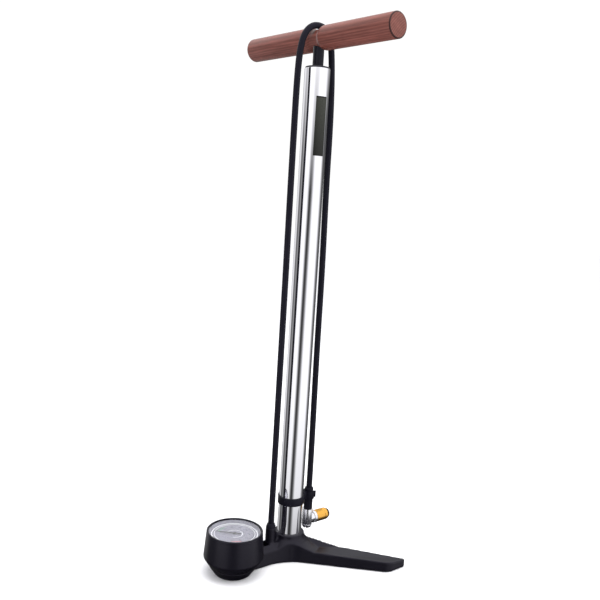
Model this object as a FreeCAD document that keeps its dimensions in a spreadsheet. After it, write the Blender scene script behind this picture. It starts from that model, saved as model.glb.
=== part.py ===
"""Floor bike pump: a three-toed stand with a dial gauge, a steel barrel, a piston with its rod and
wooden cross handle, a hose that is parked over the handle, and a screw-down valve head.

Frame: millimetres, Z up, origin on the floor under the barrel's axis. The gauge is at -Y, the two
legs spread to +Y, and the handle lies along X. Every sub-part takes its sizes from the sheet.
"""
import FreeCAD, Part
import math
import os
import Sketcher

OUT = "parts"
os.makedirs(OUT, exist_ok=True)

SIZES = {
    # stand
    "foot_gap": 0.8,             # the casting's underside over the floor
    "collar_radius": 20.0,
    "collar_top": 34.1,
    "hub_radius": 24.0,
    "hub_shoulder": 20.0,        # height where the hub starts to narrow
    "collar_shoulder": 31.5,     # height where it meets the collar
    "socket_clearance": 0.05,
    "seat_height": 16.0,         # the barrel's foot
    "leg_tip_x": 110.5,
    "leg_knee_x": 48.0,
    "leg_front_root": -29.0,
    "leg_front_tip": 80.2,
    "leg_rear_root": 9.4,
    "leg_rear_tip": 114.4,
    "leg_front_root_height": 17.4,
    "leg_front_knee_height": 16.3,
    "leg_front_tip_height": 13.8,
    "leg_rear_root_height": 29.6,
    "leg_rear_knee_height": 16.0,
    "leg_rear_tip_height": 10.4,
    "leg_front_corner": 8.0,
    "leg_rear_corner": 3.5,
    "leg_wall": 4.4,             # measured along Y
    "leg_hollow_height": 8.0,
    "leg_hollow_start": 30.0,
    "leg_hollow_end": 82.0,
    "leg_rib": 3.0,
    "arm_foot_half": 14.0,
    "arm_top_half": 13.2,
    "arm_height": 19.6,
    "arm_crest_half": 7.0,       # the rails beside the hose port
    "arm_crest_height": 26.0,
    "arm_well_half": 5.6,
    "arm_well_height": 18.0,
    "gusset_length": 20.0,       # the corner between arm and leg
    "gusset_bulge": 4.0,
    "gusset_height": 18.2,
    # ports in the stand
    "gauge_back": 87.8,          # from the barrel's axis to the gauge's axis
    "port_back": 31.0,           # from the barrel's axis to the hose port
    "port_radius": 6.6,
    "port_top": 46.0,
    "web_thickness": 6.0,
    "web_port_height": 45.0,
    "web_collar_height": 37.0,
    "passage_height": 8.4,
    "passage_radius": 1.4,
    "riser_radius": 1.1,         # under the hose port
    # gauge
    "gauge_foot_radius": 23.3,
    "gauge_seam_radius": 31.2,
    "gauge_seam_height": 12.2,
    "gauge_wide_radius": 38.0,
    "gauge_wide_height": 22.7,
    "gauge_rim_radius": 35.3,
    "gauge_rim_height": 56.2,
    "gauge_wall": 2.6,
    "gauge_floor": 2.8,
    "bezel_height": 2.6,
    "bezel_wall": 2.3,
    "glass_radius": 34.0,
    "glass_thickness": 1.6,
    "glass_ledge": 1.8,
    "dial_ledge": 1.8,
    "dial_depth": 3.6,           # from the glass down to the dial's face
    "dial_thickness": 1.0,
    "dial_hole": 1.4,
    "needle_length": 25.0,
    "needle_tail": 8.0,
    "needle_width": 1.7,
    "needle_thickness": 0.5,
    "needle_lift": 1.0,
    "needle_hub_radius": 2.6,
    "needle_rest_angle": -135.0,
    "spindle_radius": 1.0,
    "movement_width": 17.0,
    "movement_height": 12.0,
    "bourdon_radius": 19.0,
    "bourdon_tube_radius": 1.9,
    "bourdon_sweep_angle": 285.0,
    "socket_width": 9.0,
    "socket_height": 14.0,
    "socket_stem_radius": 2.6,
    "boss_ring": 14.0,           # the shell's screw bosses, from the gauge's axis
    "boss_radius": 3.6,
    "boss_height": 8.0,
    "screw_radius": 1.4,
    "screw_head_radius": 2.9,
    "screw_head_height": 2.0,
    "screw_recess": 3.4,
    # rubber pads
    "pad_recess": 1.6,
    "pad_clearance": 0.05,
    "hub_pad_radius": 17.0,
    "gauge_pad_radius": 20.5,
    "gauge_pad_bore": 18.4,
    "leg_pad_radius": 8.5,
    "leg_pad_from_tip": 13.0,
    # foot valve
    "pocket_radius": 3.4,
    "pocket_floor": 4.4,
    "valve_seat_radius": 6.5,
    "valve_seat_thickness": 3.6,
    "valve_orifice": 1.5,
    "valve_ball_radius": 2.4,
    "spring_radius": 2.1,
    "spring_wire": 0.3,
    "spring_turns": 4.0,
    # barrel and cap
    "barrel_radius": 16.0,
    "barrel_wall": 1.2,
    "barrel_below_axis": 35.4,   # from the handle's axis down to the end of the tube
    "gasket_thickness": 1.0,
    "gasket_width": 3.2,
    "cap_radius": 15.3,
    "cap_flange": 2.2,
    "cap_depth": 18.0,
    "cap_clearance": 0.05,
    "cap_mouth": 7.3,
    "bushing_wall": 2.4,
    "bushing_height": 12.0,
    "wiper_height": 2.4,
    "running_clearance": 0.05,
    "bump_height": 12.0,
    "bump_radius": 11.5,
    # plunger
    "rod_radius": 6.75,
    "rod_wall": 1.5,
    "rod_below_axis": 0.6,       # the rod ends this far under the handle's axis
    "plug_clearance": 0.03,
    "plug_length": 15.0,
    "stud_radius": 3.0,
    "piston_gap": 1.5,           # the nut stays this far off the floor of the bore
    "nut_flats": 8.0,
    "nut_height": 4.0,
    "washer_radius": 9.5,
    "washer_thickness": 1.5,
    "cup_wall": 1.9,
    "cup_web": 2.5,
    "cup_skirt": 5.0,
    "piston_height": 12.0,
    "piston_relief": 0.35,
    "guide_width": 5.0,
    "guide_depth": 1.6,
    # handle
    "handle_height": 665.1,
    "handle_radius": 14.7,
    "handle_length": 254.0,
    "handle_rest_turn": 2.4,     # the handle rests turned a little out of line with the legs
    "handle_chamfer": 1.0,
    "groove_radius": 11.2,
    "groove_floor_half": 6.2,
    "groove_mouth_half": 12.0,
    "groove_round": 7.0,
    "rod_hole_clearance": 0.05,
    "bolt_head_radius": 5.0,
    "bolt_head_height": 3.2,
    "bolt_sink": 1.0,
    "bolt_clearance": 0.1,
    # hose and its port
    "hose_radius": 4.0,
    "hose_clearance": 0.1,
    "nipple_radius": 3.2,
    "nipple_depth": 24.0,
    "nipple_bore": 1.4,
    "boot_shoulder": 5.6,
    "boot_top_radius": 4.7,
    # clip that parks the valve head
    "head_back": 30.5,           # from the barrel's axis to the parked head's axis
    "strap_low": 73.7,
    "strap_high": 83.7,
    "strap_thickness": 1.4,
    "clip_low": 73.0,
    "clip_high": 83.7,
    "clip_wall": 1.6,
    "clip_mouth_angle": 100.0,
    "clip_web": 7.0,
    "lip_length": 3.0,
    "lip_thickness": 1.6,
    "lip_low": 75.0,
    "lip_splay_angle": 28.0,
    # valve head
    "head_boot_radius": 5.9,
    "head_boot_low": 58.0,
    "head_boot_high": 88.0,
    "hose_entry": 10.0,
    "boot_rim": 1.2,
    "body_radius": 6.8,
    "body_low": 36.4,
    "flute_radius": 0.7,
    "flute_count": 16.0,
    "flute_top": 47.5,
    "tool_cap_low": 31.8,
    "tool_cap_taper": 2.6,
    "tool_cap_end_radius": 5.2,
    "tool_tooth_height": 2.2,
    "tool_tooth_slot": 1.5,
    "tool_cap_gap": 0.1,
    "tool_pin_radius": 3.0,
    "tool_pin_length": 3.0,
    "chuck_height": 43.3,
    "air_bore": 1.5,
    "neck_radius": 6.4,
    "neck_seat": 3.0,
    "flange_start": 39.4,
    "flange_radius": 8.0,
    "sleeve_start": 43.2,
    "sleeve_radius": 8.1,
    "sleeve_end": 63.5,
    "sleeve_nose_radius": 7.0,
    "sleeve_nose": 2.0,
    "sleeve_end_wall": 1.6,
    "thread_radius": 6.1,
    "thread_clearance": 0.1,
    "cavity_radius": 5.3,
    "cavity_start": 48.0,
    "chuck_mouth": 4.0,
    "spacer_bore": 4.4,
    "gasket_start": 52.0,
    "gasket_end": 58.0,
    "squeeze_gap": 1.2,
    "pusher_thickness": 2.4,
    "end_ring_radius": 6.2,
    "end_ring_thickness": 2.5,
    "pin_radius": 0.9,
    "pin_length": 6.0,
    # label plate
    "label_below_top": 33.7,     # from the end of the tube
    "label_height": 71.0,
    "label_start_angle": -37.5,
    "label_sweep_angle": 51.5,
    "label_thickness": 0.2,
}

doc = FreeCAD.newDocument("floor_pump")
sheet = doc.addObject("Spreadsheet::Sheet", "Sizes")
for row, (name, value) in enumerate(SIZES.items(), start=1):
    sheet.set(f"A{row}", name)
    sheet.set(f"B{row}", str(value))
    sheet.setAlias(f"B{row}", name)
doc.recompute()


class Size:
    """A number in mm or degrees together with the sheet expression that gives it."""

    def __init__(self, value, text):
        self.value = value
        self.text = text

    def __add__(self, other):
        other = as_size(other)
        return Size(self.value + other.value, f"({self.text} + {other.text})")

    def __sub__(self, other):
        other = as_size(other)
        return Size(self.value - other.value, f"({self.text} - {other.text})")

    def __mul__(self, other):
        other = as_size(other)
        return Size(self.value * other.value, f"({self.text} * {other.text})")

    def __truediv__(self, other):
        other = as_size(other)
        return Size(self.value / other.value, f"({self.text} / {other.text})")

    def __rsub__(self, other):
        return as_size(other) - self

    def __neg__(self):
        return as_size(0) - self

    __radd__ = __add__
    __rmul__ = __mul__


def as_size(number):
    """Give a plain number the same form as a cell of the sheet."""
    if isinstance(number, Size):
        return number
    return Size(float(number), f"{float(number):.6g}")


class Sheet:
    """Each cell of the sheet as an attribute: S.barrel_radius and so on."""

    def __getattr__(self, name):
        return Size(SIZES[name], f"Sizes.{name}")


S = Sheet()
ZERO = as_size(0)
TOLERANCE = 0.001
MITRED = 1                   # makePipeShell's setting for sharp, mitred corners
SPRING_STEPS = 12            # straight pieces per turn of a spring
UPRIGHT = FreeCAD.Rotation()
ALONG_Y = FreeCAD.Rotation(FreeCAD.Vector(1, 0, 0), -90)
ALONG_X = FreeCAD.Rotation(FreeCAD.Vector(0, 1, 0), 90)


# ---------------------------------------------------------------- building blocks
def bind(thing, path, size):
    """Bind one property to the sheet."""
    thing.setExpression(path, as_size(size).text)


def place(thing, x=0, y=0, z=0, turn=UPRIGHT):
    """Set a Placement whose three offsets follow the sheet."""
    offsets = [as_size(v) for v in (x, y, z)]
    thing.Placement = FreeCAD.Placement(FreeCAD.Vector(*[v.value for v in offsets]), turn)
    for axis, offset in zip("xyz", offsets):
        if offset.text != "0":
            bind(thing, f"Placement.Base.{axis}", offset)
    return thing


def name_it(thing, label):
    """Mark an object as a finished sub-part: its label is its node's name."""
    thing.Label = label
    FINISHED.append(thing)
    return thing


def cylinder(name, radius, height, x=0, y=0, z=0, turn=UPRIGHT, sweep=None):
    """A Part cylinder that starts at (x, y, z)."""
    solid = doc.addObject("Part::Cylinder", name)
    bind(solid, "Radius", radius)
    bind(solid, "Height", height)
    if sweep is not None:
        bind(solid, "Angle", sweep)
    return place(solid, x, y, z, turn)


def box(name, length, width, height, x=0, y=0, z=0, turn=UPRIGHT):
    """A Part box whose corner is at (x, y, z)."""
    solid = doc.addObject("Part::Box", name)
    bind(solid, "Length", length)
    bind(solid, "Width", width)
    bind(solid, "Height", height)
    return place(solid, x, y, z, turn)


def cut(name, base, tool):
    """Base minus tool."""
    result = doc.addObject("Part::Cut", name)
    result.Base = base
    result.Tool = tool
    return result


def fuse(name, solids):
    """All solids joined."""
    result = doc.addObject("Part::MultiFuse", name)
    result.Shapes = solids
    return result


def group(name, solids):
    """Separate solids kept together in one node."""
    result = doc.addObject("Part::Compound", name)
    result.Links = solids
    return result


def ring(name, outer, inner, height, x=0, y=0, z=0, turn=UPRIGHT):
    """A plain ring or tube."""
    skin = cylinder(f"{name}_skin", outer, height, x, y, z, turn)
    bore = cylinder(f"{name}_bore", inner, height, x, y, z, turn)
    return cut(name, skin, bore)


def origin_plane(body, role):
    """One of a body's own origin planes or axes, by its role."""
    return next(o for o in body.Origin.OriginFeatures if o.Role == role)


def outline_sketch(body, name, plane, points, offset=None):
    """A closed outline on one of the body's origin planes, each corner bound to the sheet."""
    sketch = body.newObject("Sketcher::SketchObject", name)
    sketch.AttachmentSupport = [(origin_plane(body, plane), "")]
    sketch.MapMode = "FlatFace"
    corners = [(as_size(u), as_size(v)) for u, v in points]
    vectors = [FreeCAD.Vector(u.value, v.value, 0) for u, v in corners]
    for start, end in zip(vectors, vectors[1:] + vectors[:1]):
        sketch.addGeometry(Part.LineSegment(start, end), False)
    count = len(corners)
    for i in range(count):
        sketch.addConstraint(Sketcher.Constraint("Coincident", i, 2, (i + 1) % count, 1))
    for i, (u, v) in enumerate(corners):
        for kind, size in (("DistanceX", u), ("DistanceY", v)):
            sketch.addConstraint(Sketcher.Constraint(kind, -1, 1, i, 1, size.value))
            if size.text != "0":
                sketch.setExpression(f"Constraints[{sketch.ConstraintCount - 1}]", size.text)
    if offset is not None:
        bind(sketch, "AttachmentOffset.Base.z", offset)
    return sketch


def turned(name, points, x=0, y=0, z=0, turn=UPRIGHT):
    """A turned piece: an outline of (radius, height) corners spun about its own Z axis."""
    body = doc.addObject("PartDesign::Body", name)
    sketch = outline_sketch(body, f"{name}_outline", "XZ_Plane", points)
    spin = body.newObject("PartDesign::Revolution", f"{name}_spin")
    spin.Profile = sketch
    spin.ReferenceAxis = (sketch, ["V_Axis"])
    spin.Angle = 360
    sketch.Visibility = False
    return place(body, x, y, z, turn)


def edges_where(shape, test):
    """Names of a shape's edges for which the test holds."""
    return [f"Edge{i}" for i, edge in enumerate(shape.Edges, start=1) if test(edge)]


def is_upright_at(edge, x, y):
    """True for an upright straight edge that passes within 0.5 mm of (x, y)."""
    ends = [v.Point for v in edge.Vertexes]
    return len(ends) == 2 and all(math.hypot(p.x - x, p.y - y) < 0.5 for p in ends)


FINISHED = []


def root(size):
    """Square root of a size."""
    return Size(math.sqrt(size.value), f"sqrt({size.text})")


def along(start, end, share):
    """The size that lies at a share of the way from start to end."""
    return start + (end - start) * share


def turn_about_z(thing, angle):
    """Turn an object about its own upright axis by an angle that follows the sheet."""
    angle = as_size(angle)
    base = thing.Placement.Base
    thing.Placement = FreeCAD.Placement(base, FreeCAD.Rotation(FreeCAD.Vector(0, 0, 1), angle.value))
    bind(thing, "Placement.Rotation.Angle", angle)
    return thing


# ---------------------------------------------------------------- places worked out from the sheet
GAUGE_Y = -S.gauge_back
PORT_Y = -S.port_back
HEAD_Y = S.head_back
SOCKET_FLOOR = S.seat_height - S.gasket_thickness
BARREL_BORE = S.barrel_radius - S.barrel_wall
SEAT_LOW = SOCKET_FLOOR - S.valve_seat_thickness
PAD_TOP = S.foot_gap + S.pad_recess
SHELL_FLOOR = S.gauge_seam_height + S.gauge_floor
GLASS_LOW = S.gauge_rim_height - S.bezel_height
GLASS_TOP = GLASS_LOW + S.glass_thickness
DIAL_TOP = GLASS_LOW - S.dial_depth
DIAL_LOW = DIAL_TOP - S.dial_thickness
NUT_LOW = SOCKET_FLOOR + S.piston_gap
WASHER_LOW = NUT_LOW + S.nut_height
CUP_LOW = WASHER_LOW + S.washer_thickness
PISTON_LOW = CUP_LOW + S.cup_web
ROD_LOW = PISTON_LOW + S.piston_height
ROD_BORE = S.rod_radius - S.rod_wall
ROD_TOP = S.handle_height - S.rod_below_axis
PLUG_RADIUS = ROD_BORE - S.plug_clearance
BARREL_TOP = S.handle_height - S.barrel_below_axis
CAP_LOW = BARREL_TOP - S.cap_depth
CAP_TOP = BARREL_TOP + S.cap_flange
BUSHING_RADIUS = S.rod_radius + S.running_clearance + S.bushing_wall
SOCKET_STEM_Y = GAUGE_Y + S.bourdon_radius


def leg_edge(side, x):
    """Y of a leg's front or rear edge at a distance x from the middle plane."""
    start, end = {
        "front": (S.leg_front_root, S.leg_front_tip),
        "rear": (S.leg_rear_root, S.leg_rear_tip),
    }[side]
    return along(start, end, x / S.leg_tip_x)


GAUGE_SCREWS = 3
TOOTH_SLOTS = 3              # each runs right across, so it parts two pairs of teeth
LEG_PAD_X = S.leg_tip_x - S.leg_pad_from_tip
LEG_PAD_Y = (leg_edge("front", LEG_PAD_X) + leg_edge("rear", LEG_PAD_X)) / 2


# ---------------------------------------------------------------- the stand
def stand_blank():
    """The casting before it is bored: hub, two legs, the arm to the gauge and the hose port."""
    body = doc.addObject("PartDesign::Body", "stand_blank")
    low = S.foot_gap

    def spun(name, points, offset=None):
        sketch = outline_sketch(body, f"{name}_outline", "XZ_Plane", points, offset)
        feature = body.newObject("PartDesign::Revolution", name)
        feature.Profile = sketch
        feature.ReferenceAxis = (sketch, ["V_Axis"])
        feature.Angle = 360
        return feature

    spun("hub", [(0, low), (S.hub_radius, low), (S.hub_radius, S.hub_shoulder),
                 (S.collar_radius, S.collar_shoulder), (S.collar_radius, S.collar_top),
                 (0, S.collar_top)])

    stations = [
        ("root", ZERO, S.leg_front_root_height, S.leg_rear_root_height),
        ("knee", S.leg_knee_x, S.leg_front_knee_height, S.leg_rear_knee_height),
        ("tip", S.leg_tip_x, S.leg_front_tip_height, S.leg_rear_tip_height),
    ]
    sections = []
    for name, x, front_height, rear_height in stations:
        front = leg_edge("front", x)
        rear = leg_edge("rear", x)
        corners = [(front, low), (front, front_height), (rear, rear_height), (rear, low)]
        sections.append(outline_sketch(body, f"leg_{name}", "YZ_Plane", corners, x))
    leg = body.newObject("PartDesign::AdditiveLoft", "leg")
    leg.Profile = sections[0]
    leg.Sections = sections[1:]
    leg.Ruled = True
    other_leg = body.newObject("PartDesign::Mirrored", "other_leg")
    other_leg.Originals = [leg]
    other_leg.MirrorPlane = (origin_plane(body, "YZ_Plane"), [""])
    body.Tip = other_leg

    middle = (S.leg_hollow_start + S.leg_hollow_end) / 2
    hollows = (("inner", S.leg_hollow_start, middle - S.leg_rib / 2),
               ("outer", middle + S.leg_rib / 2, S.leg_hollow_end))
    for name, start, end in hollows:
        corners = [(start, leg_edge("front", start) + S.leg_wall),
                   (end, leg_edge("front", end) + S.leg_wall),
                   (end, leg_edge("rear", end) - S.leg_wall),
                   (start, leg_edge("rear", start) - S.leg_wall)]
        hollow = body.newObject("PartDesign::Pocket", f"{name}_hollow")
        hollow.Profile = outline_sketch(body, f"{name}_hollow_outline", "XY_Plane", corners)
        hollow.Reversed = True
        bind(hollow, "Length", S.leg_hollow_height)
        other_hollow = body.newObject("PartDesign::Mirrored", f"other_{name}_hollow")
        other_hollow.Originals = [hollow]
        other_hollow.MirrorPlane = (origin_plane(body, "YZ_Plane"), [""])
        body.Tip = other_hollow

    arm_outline = outline_sketch(body, "arm_outline", "XZ_Plane", [
        (-S.arm_foot_half, low), (S.arm_foot_half, low), (S.arm_top_half, S.arm_height),
        (S.arm_crest_half, S.arm_crest_height), (S.arm_well_half, S.arm_crest_height),
        (S.arm_well_half, S.arm_well_height), (-S.arm_well_half, S.arm_well_height),
        (-S.arm_well_half, S.arm_crest_height), (-S.arm_crest_half, S.arm_crest_height),
        (-S.arm_top_half, S.arm_height)])
    arm = body.newObject("PartDesign::Pad", "arm")
    arm.Profile = arm_outline
    bind(arm, "Length", S.gauge_back)

    elbow = leg_edge("front", S.arm_top_half)
    gusset_x = S.arm_top_half + S.gusset_length * math.sqrt(0.5)
    side = [(S.arm_top_half - S.leg_wall, elbow - S.gusset_length),
            (S.arm_top_half + S.gusset_bulge, elbow - S.gusset_bulge / 2),
            (gusset_x, leg_edge("front", gusset_x))]
    gusset = body.newObject("PartDesign::Pad", "gusset")
    gusset.Profile = outline_sketch(body, "gusset_outline", "XY_Plane",
                                    side + [(-x, y) for x, y in reversed(side)], low)
    bind(gusset, "Length", S.gusset_height - low)

    spun("gauge_cup", [(0, low), (S.gauge_foot_radius, low),
                       (S.gauge_seam_radius, S.gauge_seam_height),
                       (0, S.gauge_seam_height)], S.gauge_back)
    spun("hose_port", [(0, low), (S.port_radius, low), (S.port_radius, S.port_top),
                       (0, S.port_top)], S.port_back)

    web_outline = outline_sketch(body, "web_outline", "YZ_Plane", [
        (PORT_Y, low), (PORT_Y, S.web_port_height),
        (-S.collar_radius, S.web_collar_height), (-S.barrel_radius, S.collar_top),
        (-S.barrel_radius, low)], -S.web_thickness / 2)
    web = body.newObject("PartDesign::Pad", "web")
    web.Profile = web_outline
    bind(web, "Length", S.web_thickness)
    doc.recompute()

    for side, radius in (("front", S.leg_front_corner), ("rear", S.leg_rear_corner)):
        reach = S.leg_tip_x.value
        y = leg_edge(side, S.leg_tip_x).value
        solid = body.Tip
        corners = edges_where(
            solid.Shape, lambda e: is_upright_at(e, reach, y) or is_upright_at(e, -reach, y))
        fillet = body.newObject("PartDesign::Fillet", f"{side}_corners")
        fillet.Base = (solid, corners)
        bind(fillet, "Radius", radius)
        doc.recompute()
    return body


def spread(count, radius, x, y):
    """Places spaced evenly on a circle, as bound (x, y) pairs; the first lies along +X."""
    angles = [360.0 * i / count for i in range(count)]
    return [(x + radius * math.cos(math.radians(a)), y + radius * math.sin(math.radians(a)))
            for a in angles]


def stand():
    """The stand: its bored casting and the rubber pads that it rests on."""
    recess = PAD_TOP - S.foot_gap
    pad_top = PAD_TOP
    bores = [
        cylinder("barrel_socket", S.barrel_radius + S.socket_clearance,
                 S.web_port_height, 0, 0, SOCKET_FLOOR),
        cylinder("valve_counterbore", S.valve_seat_radius + S.socket_clearance,
                 S.valve_seat_thickness, 0, 0, SEAT_LOW),
        cylinder("valve_pocket", S.pocket_radius, SEAT_LOW - S.pocket_floor, 0, 0, S.pocket_floor),
        cylinder("passage", S.passage_radius, -SOCKET_STEM_Y, 0, SOCKET_STEM_Y,
                 S.passage_height, ALONG_Y),
        cylinder("port_riser", S.riser_radius, S.port_top - S.passage_height,
                 0, PORT_Y, S.passage_height),
        cylinder("nipple_bore", S.nipple_radius + S.socket_clearance, S.nipple_depth,
                 0, PORT_Y, S.port_top - S.nipple_depth),
        cylinder("gauge_riser", S.socket_stem_radius + S.socket_clearance,
                 S.gauge_seam_height - S.passage_height, 0, SOCKET_STEM_Y, S.passage_height),
        cylinder("hub_pad_recess", S.hub_pad_radius + S.pad_clearance, recess, 0, 0, S.foot_gap),
        ring("gauge_pad_recess", S.gauge_pad_radius + S.pad_clearance,
             S.gauge_pad_bore - S.pad_clearance, recess, 0, GAUGE_Y, S.foot_gap),
    ]
    room = S.socket_clearance
    bores.append(turned("shell_room", [
        (0, S.gauge_seam_height), (S.gauge_seam_radius + room, S.gauge_seam_height),
        (S.gauge_wide_radius + room, S.gauge_wide_height),
        (S.gauge_wide_radius + room, S.gauge_rim_height), (0, S.gauge_rim_height)], 0, GAUGE_Y))
    for side, x in (("right", LEG_PAD_X), ("left", -LEG_PAD_X)):
        bores.append(cylinder(f"{side}_pad_recess", S.leg_pad_radius + S.pad_clearance, recess,
                              x, LEG_PAD_Y, S.foot_gap))
    for i, (x, y) in enumerate(spread(GAUGE_SCREWS, S.boss_ring, ZERO, GAUGE_Y)):
        bores.append(cylinder(f"screw_hole_{i}", S.screw_radius + S.socket_clearance,
                              S.gauge_seam_height, x, y, S.foot_gap))
        bores.append(cylinder(f"screw_recess_{i}", S.screw_head_radius + S.pad_clearance,
                              S.screw_recess, x, y, S.foot_gap))
    name_it(cut("base_casting", stand_blank(), fuse("stand_bores", bores)), "base_casting")

    name_it(cylinder("hub_foot", S.hub_pad_radius, pad_top), "hub_foot")
    name_it(ring("gauge_foot", S.gauge_pad_radius, S.gauge_pad_bore, pad_top, 0, GAUGE_Y),
            "gauge_foot")
    for side, x in (("right", LEG_PAD_X), ("left", -LEG_PAD_X)):
        name_it(cylinder(f"leg_foot_{side}", S.leg_pad_radius, pad_top, x, LEG_PAD_Y),
                f"leg_foot_{side}")


# ---------------------------------------------------------------- the foot valve
def coil_spring(name, radius, wire, low, high, turns):
    """An upright helix of short straight pieces with mitred joints, from one height to another."""
    count = round(turns.value * SPRING_STEPS)
    rise = high.value - low.value
    angle = 2 * math.pi / SPRING_STEPS
    points = [FreeCAD.Vector(radius.value * math.cos(i * angle), radius.value * math.sin(i * angle),
                             low.value + rise * i / count) for i in range(count + 1)]
    section = Part.Wire(Part.makeCircle(wire.value, points[0], points[1] - points[0]))
    node = doc.addObject("Part::Feature", name)
    node.Shape = Part.makePolygon(points).makePipeShell([section], True, True, MITRED)
    node.Placement = FreeCAD.Placement()
    return node


def foot_valve():
    """The one-way valve under the barrel: a seat, a ball that seals it from below and a spring."""
    name_it(ring("valve_seat", S.valve_seat_radius, S.valve_orifice, S.valve_seat_thickness,
                 0, 0, SEAT_LOW), "valve_seat")
    drop = root(S.valve_ball_radius * S.valve_ball_radius - S.valve_orifice * S.valve_orifice)
    centre = SEAT_LOW - drop - S.socket_clearance
    ball = doc.addObject("Part::Sphere", "valve_ball")
    bind(ball, "Radius", S.valve_ball_radius)
    name_it(place(ball, 0, 0, centre), "valve_ball")

    reach = S.valve_ball_radius + S.spring_wire + S.socket_clearance
    high = centre - root(reach * reach - S.spring_radius * S.spring_radius)
    low = S.pocket_floor + S.spring_wire + S.socket_clearance
    name_it(coil_spring("valve_spring", S.spring_radius, S.spring_wire, low, high,
                        S.spring_turns), "valve_spring")


# ---------------------------------------------------------------- the barrel
def barrel():
    """The barrel with its foot gasket, top cap, rod bushing, wiper, bump stop and label plate."""
    name_it(ring("barrel", S.barrel_radius, BARREL_BORE, BARREL_TOP - S.seat_height,
                 0, 0, S.seat_height), "barrel")
    name_it(ring("barrel_gasket", S.barrel_radius, S.barrel_radius - S.gasket_width,
                 S.gasket_thickness, 0, 0, SOCKET_FLOOR), "barrel_gasket")
    pocket = BUSHING_RADIUS + S.cap_clearance
    body = BARREL_BORE - S.cap_clearance
    wiper_low = CAP_TOP - S.wiper_height
    bushing_top = CAP_LOW + S.bushing_height
    name_it(turned("top_cap", [
        (pocket, CAP_LOW), (body, CAP_LOW), (body, BARREL_TOP), (S.cap_radius, BARREL_TOP),
        (S.cap_radius, CAP_TOP), (pocket, CAP_TOP), (pocket, wiper_low), (S.cap_mouth, wiper_low),
        (S.cap_mouth, bushing_top), (pocket, bushing_top)]), "top_cap")
    rod_hole = S.rod_radius + S.running_clearance
    name_it(ring("rod_bushing", BUSHING_RADIUS, rod_hole, S.bushing_height, 0, 0, CAP_LOW),
            "rod_bushing")
    name_it(ring("rod_wiper", BUSHING_RADIUS, rod_hole, S.wiper_height, 0, 0, wiper_low),
            "rod_wiper")
    name_it(ring("bump_stop", S.bump_radius, S.cap_mouth, S.bump_height,
                 0, 0, CAP_LOW - S.bump_height), "bump_stop")

    inner = S.barrel_radius + S.socket_clearance
    height = S.label_height
    low = BARREL_TOP - S.label_below_top - height
    skin = cylinder("label_skin", inner + S.label_thickness, height, 0, 0, low,
                    sweep=S.label_sweep_angle)
    core = cylinder("label_core", inner, height, 0, 0, low)
    turn_about_z(skin, S.label_start_angle)
    name_it(cut("label_plate", skin, core), "label_plate")


# ---------------------------------------------------------------- the plunger
def piston():
    """The piston: head, guide ring, cup seal and washer, free to turn on the rod's stud."""
    wall = BARREL_BORE - S.running_clearance
    relief = BARREL_BORE - S.piston_relief
    stud_hole = S.stud_radius + S.running_clearance
    groove = BARREL_BORE - S.guide_depth - S.piston_relief
    groove_low = PISTON_LOW + (S.piston_height - S.guide_width) / 2
    groove_high = groove_low + S.guide_width
    name_it(turned("piston_head", [
        (stud_hole, PISTON_LOW), (relief, PISTON_LOW), (relief, groove_low), (groove, groove_low),
        (groove, groove_high), (relief, groove_high), (relief, ROD_LOW), (stud_hole, ROD_LOW)]),
        "piston_head")
    name_it(ring("guide_ring", wall, groove + S.running_clearance,
                 S.guide_width - 2 * S.running_clearance, 0, 0, groove_low + S.running_clearance),
            "guide_ring")
    skirt_low = CUP_LOW - S.cup_skirt
    name_it(turned("piston_cup", [
        (stud_hole, CUP_LOW), (wall - S.cup_wall, CUP_LOW), (wall - S.cup_wall, skirt_low),
        (wall, skirt_low), (wall, PISTON_LOW), (stud_hole, PISTON_LOW)]), "piston_cup")
    name_it(ring("piston_washer", S.washer_radius, stud_hole, S.washer_thickness,
                 0, 0, WASHER_LOW), "piston_washer")


def rod():
    """The hollow rod with the stud and nut that hold the piston and the plug that takes the bolt."""
    name_it(ring("piston_rod", S.rod_radius, ROD_BORE, ROD_TOP - ROD_LOW, 0, 0, ROD_LOW),
            "piston_rod")
    name_it(turned("piston_stud", [
        (0, NUT_LOW), (S.stud_radius, NUT_LOW), (S.stud_radius, ROD_LOW), (PLUG_RADIUS, ROD_LOW),
        (PLUG_RADIUS, ROD_LOW + S.plug_length), (0, ROD_LOW + S.plug_length)]), "piston_stud")
    nut = doc.addObject("Part::Prism", "nut_blank")
    nut.Polygon = 6
    bind(nut, "Circumradius", S.nut_flats / math.sqrt(3))
    bind(nut, "Height", S.nut_height)
    place(nut, 0, 0, NUT_LOW)
    nut_bore = cylinder("nut_bore", S.stud_radius + S.plug_clearance, S.nut_height, 0, 0, NUT_LOW)
    name_it(cut("piston_nut", nut, nut_bore), "piston_nut")
    name_it(ring("rod_plug", PLUG_RADIUS, S.stud_radius + S.plug_clearance, S.plug_length,
                 0, 0, ROD_TOP - S.plug_length), "rod_plug")


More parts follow.
